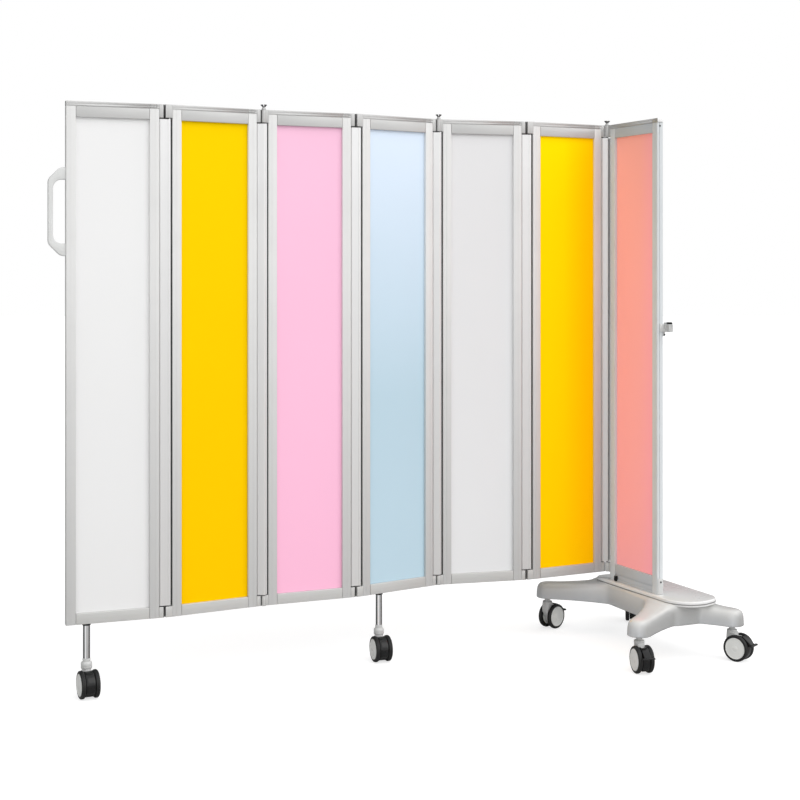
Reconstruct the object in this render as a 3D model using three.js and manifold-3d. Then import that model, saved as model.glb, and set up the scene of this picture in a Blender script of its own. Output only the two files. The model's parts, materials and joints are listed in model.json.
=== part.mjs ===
// A folding ward privacy screen: seven tall framed panels hinged in a zigzag. The last panel
// stands on a trolley base with four casters, and two legs with casters carry the others.
// Millimetres, +Z up. The origin is the middle of the part's footprint, on the floor.
// A panel's own frame has +X along its width, +Y towards its back and the origin at its middle.

import * as THREE from "three";
import { mergeVertices } from "three/addons/utils/BufferGeometryUtils.js";
import Module from "manifold-3d";

const wasm = await Module();
wasm.setup();

// Clearances and fineness
const seatClearance = 0.3;
const runningClearance = 0.3;
const cutOverrun = 1;
const mergeTolerance = 0.001;
const smallRoundSides = 16;
const wheelSides = 28;
const cornerSteps = 4;

// Panel frames
const frameTop = 1650;
const frameBottom = 202;
const frameWidth = 259;
const frameThickness = 22;
const stileWidth = 27;
const topRailHeight = 30;
const bottomRailHeight = 31;
const frameWall = 2;
const glazingLip = 3;
const infillThickness = 4;
const infillEdge = 9;

// Top caps, which leave a thin shadow line over the top rail
const capHeight = 14;
const capEndRadius = 5;
const capShadowHeight = 1.5;
const capShadowDepth = 1.6;

// Hinges between neighbouring panels
const hingeGap = 35;
const axisShift = 3;
const axisProud = 1.5;
const barrelRadius = 6;
const barrelClearance = 1;
const hornSplit = 1.5;
const topHornHeight = 38;
const bottomHornHeight = 30;
const hingeRodRadius = 3;
const stripWall = 3;
const stripFaceThickness = 4;
const stripFaceInset = 2.5;
const stripFaceReach = 8.5;
const stripEndGap = 1.5;

// Flared heads of the rods at the hinges whose axis is on the front face
const rodHeadHeight = 14;
const rodHeadRadius = 9;
const rodNeckRadius = 5;
const rodNeckHeight = 5;
const rodHeadRim = 2;

// Pull handle on the free edge of the first panel
const handleDrop = 183;
const handleHeight = 246;
const handleReach = 48;
const handleBar = 14;
const handleDepth = 14;
const handleShoulder = 34;
const handleFoot = 35;
const handleRound = 8;
const handleEdgeRadius = 2.5;

// Latch on the outer edge of the last panel. Its arm stands behind the panel's back face, and a
// lug on that face holds it.
const latchHeight = 1002;
const latchPlateFront = -2;
const latchPlateThickness = 3;
const latchLugHeight = 37;
const latchLugWidth = 12;
const latchLugThickness = 5;
const latchArmReach = 29;
const latchArmAcross = 20;
const latchArmWidth = 14;
const latchArmHeight = 24;
const latchArmRadius = 4;
const catchLength = 19;
const catchWidth = 10;
const catchHeight = 6;
const catchPinRadius = 2.5;
const catchPinLength = 14;
const catchEndInset = 4.5;

// Legs under the first and the fourth panel
const legPlaces = { 1: -72, 4: -65 };
const legTubeRadius = 9.5;
const legTubeWall = 2;
const legCollarTop = 106;
const legCollarNeckRadius = 10.4;
const legCollarNeckHeight = 9;
const legCollarRadius = 15.6;
const legCollarEdge = 4;
const legCollarFootRadius = 13.2;
const legCollarFootHeight = 2.5;
const legHoodTop = 74;

// Trolley base, in the last panel's own frame
const chassisBottom = 104;
const chassisTop = 173.7;
const chassisNear = 232;
const chassisFront = 38;
const chassisBack = 140;
const chassisEdge = 14;
const chassisCorner = 45;
const armEndTop = 151;
const armRootTop = 165;
const armEndHalfWidth = 36;
const armRootHalfWidth = 82;
const armRootAlong = 130;
const armRootInset = 75;
const stemAlong = 278;
const stemAcross = 165;

// Deck plate on the chassis
const deckTop = 180;
const deckEdge = 4;
const deckFar = 200;
const deckFront = 41;
const deckShoulderAlong = 225;
const deckShoulderAcross = 14;
const deckTip = 272;
const deckTipAcross = 56;
const deckBackAlong = 236;
const deckBack = 152;
const deckFarBack = 132;
const deckRound = 58;

// Casters
const trolleyWheelRadius = 40;
const legWheelRadius = 38.5;
const wheelWidth = 12.5;
const wheelRunningGap = 0.7;
const treadRound = 3.5;
const hubRadius = 31;
const hubRecess = 0.8;
const hubStep = 1.2;
const axleRadius = 4;
const casterTrail = 22;
const yokeHalfWidth = 11.8;
const hoodHalfWidth = 13;
const yokeBossRadius = 16;
const yokeLeading = 16;
const yokeTrailing = 19;
const yokeKnee = 72;
const yokeHeadHalfWidth = 16;
const yokeHeadTop = 97;
const wheelHeadGap = 1.8;
const casterNeckRadius = 11.3;
const neckGap = 0.5;
const stemRadius = 9;
const stemLength = 22;
const socketDepth = 25;
const legStemRadius = 8;
const legStemTop = 99.5;
const hoodRadius = 35.8;
const hoodShoulder = 14;

// Brake pedals of the trolley casters, set from the axle and the swivel axis
const pedalPivotAlong = 28;
const pedalPivotHeight = 70;
const pedalEarRadius = 6;
const pedalPinRadius = 2;
const tongueHalfWidth = 5.5;
const tongueRadius = 6;
const pedalSlotGap = 1.6;
const pedalOuterRadius = 38;
const pedalInnerRadius = 23;
const pedalTopHeight = 77;
const pedalHalfWidth = 11.3;
const lipStart = 67;
const lipEnd = 82;
const lipBottom = 55.5;
const lipTop = 61;
const lipHalfWidth = 20;
const lipRound = 4;

// Rest pose. A turn is a panel's heading less the heading of its left neighbour. The first name of
// a trolley caster says whether it is near the viewer or far, the second its side. A hinge that
// turns one way has its axis on the back face, the next has it on the front face.
const restTurnDegrees = [8.3, -5.9, 11.4, -19.7, 11.7, -90.6];
const lastPanelHeadingDegrees = -64.2;
const chassisTurnDegrees = -2.5;
const legHeadingDegrees = { 1: -85, 4: -105 };
const casterHeadingDegrees = { near_left: -10, near_right: 26, far_left: 112, far_right: -33 };

// Derived sizes
const panelCount = restTurnDegrees.length + 1;
const halfWidth = frameWidth / 2;
const halfThickness = frameThickness / 2;
const windowHalfWidth = halfWidth - stileWidth;
const railTop = frameTop - capHeight;
const windowBottom = frameBottom + bottomRailHeight;
const windowTop = railTop - topRailHeight;
const axisFromLeftPanel = halfWidth + hingeGap / 2 + axisShift;
const axisFromRightPanel = -halfWidth - hingeGap / 2 + axisShift;
const axisAcross = halfThickness + axisProud;
const boreRadius = hingeRodRadius + runningClearance;
const hornKeepOff = barrelRadius + barrelClearance;
const footBottom = deckTop + seatClearance;
const handleTop = frameTop - handleDrop;
const handleBottom = handleTop - handleHeight;

const degrees = THREE.MathUtils.degToRad;

// Solids: closed meshes that can be joined and cut

function solidOf(geometry) {
  const bare = geometry.clone();
  bare.deleteAttribute("normal");
  bare.deleteAttribute("uv");
  const merged = mergeVertices(bare, mergeTolerance);
  return new wasm.Manifold(new wasm.Mesh({
    numProp: merged.attributes.position.itemSize,
    vertProperties: merged.attributes.position.array,
    triVerts: new Uint32Array(merged.index.array),
  }));
}

function geometryOf(solid) {
  const mesh = solid.getMesh();
  const geometry = new THREE.BufferGeometry();
  geometry.setAttribute("position", new THREE.BufferAttribute(mesh.vertProperties, mesh.numProp));
  geometry.setIndex(new THREE.BufferAttribute(mesh.triVerts, 1));
  geometry.computeVertexNormals();
  return geometry;
}

function joined(solids) {
  return solids.reduce((whole, piece) => whole.add(piece));
}

function block([left, right], [front, back], [bottom, top]) {
  const geometry = new THREE.BoxGeometry(right - left, back - front, top - bottom);
  geometry.translate((left + right) / 2, (front + back) / 2, (bottom + top) / 2);
  return solidOf(geometry);
}

// A round bar that stands at x, y
function upright(radius, [bottom, top], x = 0, y = 0) {
  const geometry = new THREE.CylinderGeometry(radius, radius, top - bottom, smallRoundSides);
  geometry.rotateX(degrees(90));
  geometry.translate(x, y, (bottom + top) / 2);
  return solidOf(geometry);
}

// A round bar across the caster, with its axis at x, z
function crossBar(radius, halfLength, x, z) {
  const geometry = new THREE.CylinderGeometry(radius, radius, 2 * halfLength, smallRoundSides);
  geometry.translate(x, 0, z);
  return solidOf(geometry);
}

// An outline in plan, extruded from bottom to top
function plate(outline, [bottom, top]) {
  const geometry = new THREE.ExtrudeGeometry(outline, { depth: top - bottom, bevelEnabled: false });
  geometry.translate(0, 0, bottom);
  return solidOf(geometry);
}

// An outline in X and Z, extruded across Y to both sides of the middle
function sidePlate(outline, halfDepth, edge = 0) {
  const geometry = new THREE.ExtrudeGeometry(outline, {
    depth: 2 * (halfDepth - edge),
    bevelEnabled: edge > 0,
    bevelThickness: edge,
    bevelSize: edge,
    bevelOffset: -edge,
    bevelSegments: 1,
  });
  geometry.rotateX(degrees(90));
  geometry.translate(0, halfDepth - edge, 0);
  return solidOf(geometry);
}

// A moulded block with an upright wall and a rounded top edge
function moulding(outline, [bottom, top], edge, edgeSteps) {
  const geometry = new THREE.ExtrudeGeometry(outline, {
    depth: top - bottom,
    bevelThickness: edge,
    bevelSize: edge,
    bevelOffset: -edge,
    bevelSegments: edgeSteps,
  });
  geometry.translate(0, 0, bottom - edge);
  const reach = 4 * Math.max(...outline.getPoints().map((point) => point.length()));
  const above = block([-reach, reach], [-reach, reach], [bottom, top + edge]);
  return solidOf(geometry).intersect(above);
}

// A closed outline whose corners, each [x, y, radius], are rounded
function roundedOutline(corners) {
  const points = [];
  corners.forEach(([x, y, radius], index) => {
    const corner = new THREE.Vector2(x, y);
    const [beforeX, beforeY] = corners[(index + corners.length - 1) % corners.length];
    const [afterX, afterY] = corners[(index + 1) % corners.length];
    const toBefore = new THREE.Vector2(beforeX, beforeY).sub(corner).normalize();
    const toAfter = new THREE.Vector2(afterX, afterY).sub(corner).normalize();
    const halfAngle = Math.acos(THREE.MathUtils.clamp(toBefore.dot(toAfter), -1, 1)) / 2;
    if (radius === 0) {
      points.push(corner);
      return;
    }
    const centre = toBefore.clone().add(toAfter).normalize()
      .multiplyScalar(radius / Math.sin(halfAngle)).add(corner);
    const start = toBefore.clone().multiplyScalar(radius / Math.tan(halfAngle)).add(corner);
    const sweep = (Math.PI - 2 * halfAngle) * Math.sign(toAfter.cross(toBefore));
    for (let step = 0; step <= cornerSteps; step += 1) {
      points.push(start.clone().rotateAround(centre, (sweep * step) / cornerSteps));
    }
  });
  return new THREE.Shape(points);
}

// Points on an arc round a centre, from one angle to another in degrees
function arcPoints(centreX, centreY, radius, fromDegrees, toDegrees, steps) {
  const points = [];
  for (let step = 0; step <= steps; step += 1) {
    const angle = degrees(fromDegrees + ((toDegrees - fromDegrees) * step) / steps);
    points.push(new THREE.Vector2(
      centreX + radius * Math.cos(angle),
      centreY + radius * Math.sin(angle),
    ));
  }
  return points;
}

// A turned solid about the Y axis, from [radius, y] points in order of rising y
function turned(profile, sides) {
  const points = profile.map(([radius, y]) => new THREE.Vector2(radius, y));
  return new THREE.LatheGeometry(points, sides);
}

// A skin over cross-sections that all have as many points, closed at both ends
function lofted(rings) {
  const count = rings[0].length;
  const positions = rings.flat().flatMap((point) => [point.x, point.y, point.z]);
  const faces = [];
  for (let ring = 0; ring + 1 < rings.length; ring += 1) {
    for (let index = 0; index < count; index += 1) {
      const next = (index + 1) % count;
      const here = ring * count;
      const there = here + count;
      faces.push(here + index, there + next, here + next);
      faces.push(here + index, there + index, there + next);
    }
  }
  const last = (rings.length - 1) * count;
  for (let index = 1; index + 1 < count; index += 1) {
    faces.push(0, index, index + 1);
    faces.push(last, last + index + 1, last + index);
  }
  const geometry = new THREE.BufferGeometry();
  geometry.setAttribute("position", new THREE.Float32BufferAttribute(positions, 3));
  geometry.setIndex(faces);
  return solidOf(geometry);
}

// Finishes

const finishes = {
  frame_aluminium: { color: 0xc3c5c7, roughness: 0.42, metalness: 0.8 },
  cap_aluminium: { color: 0xcccdce, roughness: 0.38, metalness: 0.8 },
  hinge_aluminium: { color: 0xd6d6d7, roughness: 0.35, metalness: 0.7 },
  rod_steel: { color: 0x8f9294, roughness: 0.3, metalness: 1 },
  chromed_tube: { color: 0xd8dadc, roughness: 0.08, metalness: 1 },
  infill_white: { color: 0xebebeb, roughness: 0.35, metalness: 0 },
  infill_yellow: { color: 0xfecf00, roughness: 0.35, metalness: 0 },
  infill_pink: { color: 0xfec6e2, roughness: 0.35, metalness: 0 },
  infill_blue: { color: 0xcbe0f0, roughness: 0.35, metalness: 0 },
  infill_salmon: { color: 0xf3a08f, roughness: 0.35, metalness: 0 },
  handle_plastic: { color: 0xdcdddf, roughness: 0.4, metalness: 0 },
  base_plastic: { color: 0xcfcfce, roughness: 0.3, metalness: 0 },
  caster_grey: { color: 0xbfc0c1, roughness: 0.4, metalness: 0 },
  caster_black: { color: 0x2b2c2e, roughness: 0.3, metalness: 0 },
  tyre_rubber: { color: 0x3a3b3d, roughness: 0.7, metalness: 0 },
};
const infillOrder = ["white", "yellow", "pink", "blue", "white", "yellow", "salmon"];

function mesh(name, finish, solid) {
  const piece = new THREE.Mesh(geometryOf(solid), new THREE.MeshStandardMaterial(finishes[finish]));
  piece.name = name;
  return piece;
}

// Panels

// +1 where the axis of the hinge at a panel's right is on the back face, -1 on the front face
function hingeSide(panel) {
  return Math.sign(restTurnDegrees[panel - 1]);
}

const topHorn = [frameTop - topHornHeight, frameTop];
const bottomHorn = [frameBottom, frameBottom + bottomHornHeight];

// The horns at a panel's right end before the hinge barrels of its neighbour
function rightHorns() {
  const reach = [halfWidth - cutOverrun, axisFromLeftPanel - hornKeepOff];
  const inside = [halfWidth, axisFromLeftPanel - hornKeepOff];
  return joined([
    block(reach, [-halfThickness, halfThickness], [topHorn[0], railTop]),
    block(inside, [-halfThickness, halfThickness], topHorn),
    block(reach, [-halfThickness, halfThickness], bottomHorn),
  ]);
}

// The horns at a panel's left end, with the barrels that hold the hinge rod
function leftHorns(side) {
  const start = axisFromRightPanel - hornKeepOff + hornSplit;
  const barrels = [topHorn, bottomHorn].map(
    (span) => upright(barrelRadius, span, axisFromRightPanel, side * axisAcross));
  const bores = upright(boreRadius, [frameBottom - cutOverrun, frameTop + cutOverrun],
    axisFromRightPanel, side * axisAcross);
  return joined([
    block([start, cutOverrun - halfWidth], [-halfThickness, halfThickness], [topHorn[0], railTop]),
    block([start, -halfWidth], [-halfThickness, halfThickness], topHorn),
    block([start, cutOverrun - halfWidth], [-halfThickness, halfThickness], bottomHorn),
    ...barrels,
  ]).subtract(bores);
}

// Stiles and rails in one, with a glazing slot that opens into the extrusion's chamber
function frame(panel) {
  const last = panel === panelCount;
  const bottom = last ? footBottom : frameBottom;
  const rim = windowHalfWidth + glazingLip;
  const depth = [-halfThickness - cutOverrun, halfThickness + cutOverrun];
  const chamberDepth = [frameWall - halfThickness, halfThickness - frameWall];
  const slotHalf = infillThickness / 2 + seatClearance;
  const window = block([-windowHalfWidth, windowHalfWidth], depth, [windowBottom, windowTop]);
  const lipSpan = [windowBottom - glazingLip, windowTop + glazingLip];
  const chamber = block([frameWall - halfWidth, halfWidth - frameWall], chamberDepth,
    [frameBottom + frameWall, railTop - frameWall]).subtract(block([-rim, rim], depth, lipSpan));
  const slotSpan = [lipSpan[0] - frameWall, lipSpan[1] + frameWall];
  const slot = block([-rim - frameWall, rim + frameWall], [-slotHalf, slotHalf], slotSpan);
  let solid = block([-halfWidth, halfWidth], [-halfThickness, halfThickness], [bottom, railTop])
    .subtract(joined([window, chamber, slot]));
  if (last) {
    const between = [stileWidth - halfWidth, halfWidth - stileWidth];
    solid = solid.subtract(block(between, depth, [bottom - cutOverrun, frameBottom]));
  } else {
    solid = solid.add(rightHorns());
  }
  if (panel > 1) {
    solid = solid.add(leftHorns(hingeSide(panel - 1)));
    const across = hingeSide(panel - 1) * axisAcross;
    const span = [frameBottom - cutOverrun, frameTop + cutOverrun];
    solid = solid.subtract(upright(boreRadius, span, axisFromRightPanel, across));
  }
  return mesh(`panel_${panel}_frame`, "frame_aluminium", solid);
}

function infill(panel) {
  const half = windowHalfWidth + infillEdge;
  const span = [windowBottom - infillEdge, windowTop + infillEdge];
  const solid = block([-half, half], [-infillThickness / 2, infillThickness / 2], span);
  return mesh(`panel_${panel}_infill`, `infill_${infillOrder[panel - 1]}`, solid);
}

function topCap(panel) {
  const half = halfWidth - seatClearance;
  const bottom = railTop + seatClearance;
  const shadowTop = bottom + capShadowHeight;
  const left = panel === 1 ? capEndRadius : 0;
  const right = panel === panelCount ? capEndRadius : 0;
  const outline = roundedOutline([
    [-half, shadowTop, 0],
    [half, shadowTop, 0],
    [half, frameTop, right],
    [-half, frameTop, left],
  ]);
  const neckHalf = half - capShadowDepth;
  const neckDepth = halfThickness - capShadowDepth;
  const neck = block([-neckHalf, neckHalf], [-neckDepth, neckDepth], [bottom, shadowTop + cutOverrun]);
  return mesh(`panel_${panel}_top_cap`, "cap_aluminium", sidePlate(outline, halfThickness).add(neck));
}

// The gap strip at a panel's right: a wall against the stile, a face that closes the gap and a
// hinge barrel round the rod
function gapStrip(panel) {
  const side = hingeSide(panel);
  const span = [frameBottom + bottomHornHeight + stripEndGap, frameTop - topHornHeight - stripEndGap];
  const wallStart = halfWidth + seatClearance;
  const axisY = side * axisAcross;
  const faceOuter = side * (stripFaceInset - halfThickness);
  const faceInner = faceOuter + side * stripFaceThickness;
  const leafOuter = side * (halfThickness - stripFaceInset);
  const leafInner = leafOuter - side * stripWall;
  const between = (one, other) => [Math.min(one, other), Math.max(one, other)];
  const solid = joined([
    block([wallStart, wallStart + stripWall], between(faceOuter, leafOuter), span),
    block([wallStart, axisFromLeftPanel + stripFaceReach], between(faceOuter, faceInner), span),
    block([wallStart, axisFromLeftPanel], between(leafInner, leafOuter), span),
    upright(barrelRadius, span, axisFromLeftPanel, axisY),
  ]).subtract(upright(boreRadius, [span[0] - cutOverrun, span[1] + cutOverrun],
    axisFromLeftPanel, axisY));
  return mesh(`gap_strip_${panel}`, "hinge_aluminium", solid);
}

// The rod of the hinge at a panel's left. Where its axis is on the front face, a flared head
// stands above the frame.
function hingeRod(panel) {
  const side = hingeSide(panel - 1);
  const y = side * axisAcross;
  let solid = upright(hingeRodRadius, [frameBottom, frameTop], axisFromRightPanel, y);
  if (side < 0) {
    const head = turned([
      [0, frameTop - cutOverrun],
      [hingeRodRadius, frameTop - cutOverrun],
      [hingeRodRadius, frameTop + seatClearance],
      [rodNeckRadius, frameTop + seatClearance],
      [rodNeckRadius, frameTop + rodNeckHeight],
      [rodHeadRadius, frameTop + rodHeadHeight - rodHeadRim],
      [rodHeadRadius, frameTop + rodHeadHeight],
      [0, frameTop + rodHeadHeight],
    ], smallRoundSides);
    head.rotateX(degrees(90));
    head.translate(axisFromRightPanel, y, 0);
    solid = solid.add(solidOf(head));
  }
  return mesh(`hinge_rod_${panel - 1}`, "rod_steel", solid);
}

function handle() {
  const panelEdge = -halfWidth - seatClearance;
  const outer = panelEdge - handleReach;
  const inner = outer + handleBar;
  const innerTop = handleTop - handleFoot;
  const innerBottom = handleBottom + handleFoot;
  const outline = roundedOutline([
    [panelEdge, handleBottom, 0],
    [panelEdge, innerBottom, 0],
    [inner + handleBar, innerBottom, handleRound],
    [inner, innerBottom + handleBar, handleRound],
    [inner, innerTop - handleBar, handleRound],
    [inner + handleBar, innerTop, handleRound],
    [panelEdge, innerTop, 0],
    [panelEdge, handleTop, 0],
    [outer + handleShoulder, handleTop, handleRound],
    [outer, handleTop - handleShoulder, handleRound],
    [outer, handleBottom + handleShoulder, handleRound],
    [outer + handleShoulder, handleBottom, handleRound],
  ]);
  return mesh("pull_handle", "handle_plastic", sidePlate(outline, handleDepth / 2, handleEdgeRadius));
}

// Latch

const latchFace = halfWidth + seatClearance;
const latchArmTop = latchHeight + latchArmHeight / 2;
const catchPinPlace = latchFace + latchArmReach - catchLength + catchEndInset;

function latchBracket() {
  const arm = roundedOutline([
    [latchFace, latchArmTop - latchArmHeight, 0],
    [latchFace + latchArmReach, latchArmTop - latchArmHeight, latchArmRadius],
    [latchFace + latchArmReach, latchArmTop, 0],
    [latchFace, latchArmTop, 0],
  ]);
  const pinHole = upright(catchPinRadius + runningClearance,
    [latchArmTop - catchPinLength - cutOverrun, latchArmTop + cutOverrun], catchPinPlace, latchArmAcross);
  const plateOuter = latchFace + latchPlateThickness;
  const lugFace = halfThickness + seatClearance;
  const solid = joined([
    block([latchFace, plateOuter], [latchPlateFront, latchArmAcross],
      [latchArmTop - latchArmHeight, latchArmTop]),
    block([latchFace - latchLugWidth, plateOuter], [lugFace, lugFace + latchLugThickness],
      [latchArmTop - latchLugHeight, latchArmTop]),
    sidePlate(arm, latchArmWidth / 2).translate(0, latchArmAcross, 0),
  ]).subtract(pinHole);
  return mesh("latch_bracket", "caster_grey", solid);
}

function latchCatch() {
  const bottom = latchArmTop + runningClearance;
  const start = catchPinPlace - catchEndInset;
  const outline = roundedOutline([
    [start, latchArmAcross - catchWidth / 2, catchEndInset],
    [start + catchLength, latchArmAcross - catchWidth / 2, 0],
    [start + catchLength, latchArmAcross + catchWidth / 2, 0],
    [start, latchArmAcross + catchWidth / 2, catchEndInset],
  ]);
  const pin = upright(catchPinRadius, [latchArmTop - catchPinLength, bottom + cutOverrun],
    catchPinPlace, latchArmAcross);
  return mesh("latch_catch", "caster_black", plate(outline, [bottom, bottom + catchHeight]).add(pin));
}

// Wheels and casters. A caster's own frame has its swivel axis at the origin and trails to +X.

// Two tyred wheels on one axle
function wheelPair(name, radius, innerHalf) {
  const face = innerHalf + wheelWidth;
  const half = [
    [axleRadius, innerHalf],
    [radius - treadRound, innerHalf],
    [radius, innerHalf + treadRound],
    [radius, face - treadRound],
    [radius - treadRound, face],
    [hubRadius + hubStep, face],
    [hubRadius, face - hubRecess],
    [0, face - hubRecess],
  ];
  const mirrored = half.map(([r, y]) => [r, -y]).reverse();
  const geometry = turned([...mirrored, ...half], wheelSides);
  geometry.translate(casterTrail, 0, radius);
  return mesh(name, "tyre_rubber", solidOf(geometry));
}

const trolleyWheelInner = yokeHalfWidth + wheelRunningGap;
const legWheelInner = hoodHalfWidth + wheelRunningGap;

function casterFork(name) {
  const axleHeight = trolleyWheelRadius;
  const web = roundedOutline([
    [-yokeLeading, yokeHeadTop, 0],
    [-yokeLeading, yokeKnee, yokeBossRadius],
    [casterTrail - yokeBossRadius, axleHeight - yokeBossRadius, yokeBossRadius / 2],
    [casterTrail + yokeBossRadius, axleHeight - yokeBossRadius, yokeBossRadius],
    [casterTrail + yokeBossRadius, axleHeight + yokeBossRadius / 2, yokeBossRadius / 2],
    [yokeTrailing, axleHeight + yokeBossRadius, 0],
    [yokeTrailing, yokeHeadTop, 0],
  ]);
  const headBottom = 2 * trolleyWheelRadius + wheelHeadGap;
  const tongueSpan = [pedalPivotHeight - tongueRadius, pedalPivotHeight + tongueRadius];
  const solid = joined([
    sidePlate(web, yokeHalfWidth),
    block([-yokeLeading, yokeTrailing], [-yokeHeadHalfWidth, yokeHeadHalfWidth], [headBottom, yokeHeadTop]),
    block([yokeTrailing - cutOverrun, pedalPivotAlong], [-tongueHalfWidth, tongueHalfWidth], tongueSpan),
    crossBar(tongueRadius, tongueHalfWidth, pedalPivotAlong, pedalPivotHeight),
    upright(casterNeckRadius, [yokeHeadTop - cutOverrun, chassisBottom - neckGap]),
    upright(stemRadius, [yokeHeadTop, chassisBottom + stemLength]),
  ]).subtract(joined([
    crossBar(axleRadius + runningClearance, yokeHeadHalfWidth, casterTrail, axleHeight),
    crossBar(pedalPinRadius + runningClearance, yokeHeadHalfWidth, pedalPivotAlong, pedalPivotHeight),
  ]));
  return mesh(`${name}_fork`, "caster_grey", solid);
}

function brakePedal(name) {
  const axleHeight = trolleyWheelRadius;
  const outline = new THREE.Shape([
    ...arcPoints(casterTrail, axleHeight, pedalOuterRadius, -52, 16, 7),
    new THREE.Vector2(lipStart, lipBottom),
    new THREE.Vector2(lipStart, lipTop),
    new THREE.Vector2(casterTrail + pedalOuterRadius - pedalEarRadius, lipTop + pedalEarRadius),
    new THREE.Vector2(pedalPivotAlong + 2 * pedalEarRadius, pedalTopHeight),
    new THREE.Vector2(pedalPivotAlong - pedalEarRadius / 2, pedalTopHeight),
    new THREE.Vector2(pedalPivotAlong - pedalEarRadius, pedalPivotHeight),
    new THREE.Vector2(pedalPivotAlong - pedalEarRadius / 2, pedalPivotHeight - pedalEarRadius),
    ...arcPoints(casterTrail, axleHeight, pedalInnerRadius, 40, -52, 6),
  ]);
  const lip = roundedOutline([
    [lipStart - cutOverrun, -lipHalfWidth, lipRound],
    [lipEnd, -lipHalfWidth, lipRound],
    [lipEnd, lipHalfWidth, lipRound],
    [lipStart - cutOverrun, lipHalfWidth, lipRound],
  ]);
  const slotHalf = tongueHalfWidth + pedalSlotGap / 2;
  const slotSpan = [pedalPivotHeight - tongueRadius - pedalSlotGap, pedalTopHeight + cutOverrun];
  const slotEnd = pedalPivotAlong + tongueRadius + pedalSlotGap;
  const slotStart = pedalPivotAlong - 2 * pedalEarRadius;
  const solid = sidePlate(outline, pedalHalfWidth)
    .subtract(block([slotStart, slotEnd], [-slotHalf, slotHalf], slotSpan))
    .add(crossBar(pedalPinRadius, pedalHalfWidth, pedalPivotAlong, pedalPivotHeight))
    .add(plate(lip, [lipBottom, lipTop]));
  return mesh(`${name}_brake_pedal`, "caster_black", solid);
}

function casterHood(name) {
  const axleHeight = legWheelRadius;
  const outline = new THREE.Shape([
    ...arcPoints(casterTrail, axleHeight, hoodRadius, -72, 62, 12),
    new THREE.Vector2(hoodShoulder, legHoodTop),
    new THREE.Vector2(-hoodShoulder, legHoodTop),
    new THREE.Vector2(-hoodShoulder, legHoodTop - hoodShoulder),
    new THREE.Vector2(casterTrail - yokeBossRadius, axleHeight),
    new THREE.Vector2(casterTrail - yokeBossRadius / 2, axleHeight - yokeBossRadius),
  ]);
  const solid = sidePlate(outline, hoodHalfWidth)
    .add(upright(legStemRadius, [legHoodTop - hoodShoulder, legStemTop]))
    .subtract(crossBar(axleRadius + runningClearance, hoodHalfWidth + cutOverrun, casterTrail, axleHeight));
  return mesh(`${name}_caster_hood`, "caster_black", solid);
}

function casterGroup(name, meshes, x, y, heading) {
  const group = new THREE.Group();
  group.name = `${name}_swivel`;
  group.add(...meshes);
  group.position.set(x, y, 0);
  group.rotation.z = degrees(heading);
  return group;
}

// Legs

function legTube(panel) {
  const span = [legCollarTop + seatClearance, frameBottom - seatClearance];
  const bore = [span[0] - cutOverrun, span[1] + cutOverrun];
  const solid = upright(legTubeRadius, span, legPlaces[panel])
    .subtract(upright(legTubeRadius - legTubeWall, bore, legPlaces[panel]));
  return mesh(`leg_${panel}_tube`, "chromed_tube", solid);
}

function legCollar(panel) {
  const bottom = legHoodTop + seatClearance;
  const neckBottom = legCollarTop - legCollarNeckHeight;
  const bellyBottom = bottom + legCollarFootHeight;
  const profile = turned([
    [0, bottom],
    [legCollarFootRadius, bottom],
    [legCollarFootRadius, bellyBottom],
    [legCollarRadius - legCollarEdge / 4, bellyBottom],
    [legCollarRadius, bellyBottom + legCollarEdge],
    [legCollarRadius, neckBottom - legCollarEdge],
    [legCollarRadius - legCollarEdge / 2, neckBottom - legCollarEdge / 4],
    [legCollarNeckRadius, neckBottom],
    [legCollarNeckRadius, legCollarTop],
    [0, legCollarTop],
  ], smallRoundSides);
  profile.rotateX(degrees(90));
  profile.translate(legPlaces[panel], 0, 0);
  const socket = upright(legStemRadius + runningClearance, [bottom - cutOverrun,
    legStemTop + runningClearance], legPlaces[panel]);
  return mesh(`leg_${panel}_collar`, "caster_grey", solidOf(profile).subtract(socket));
}

function legCaster(panel) {
  const name = `leg_${panel}`;
  const meshes = [casterHood(name), wheelPair(`${name}_wheels`, legWheelRadius, legWheelInner)];
  return casterGroup(name, meshes, legPlaces[panel], 0, legHeadingDegrees[panel]);
}

// Trolley base

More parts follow.
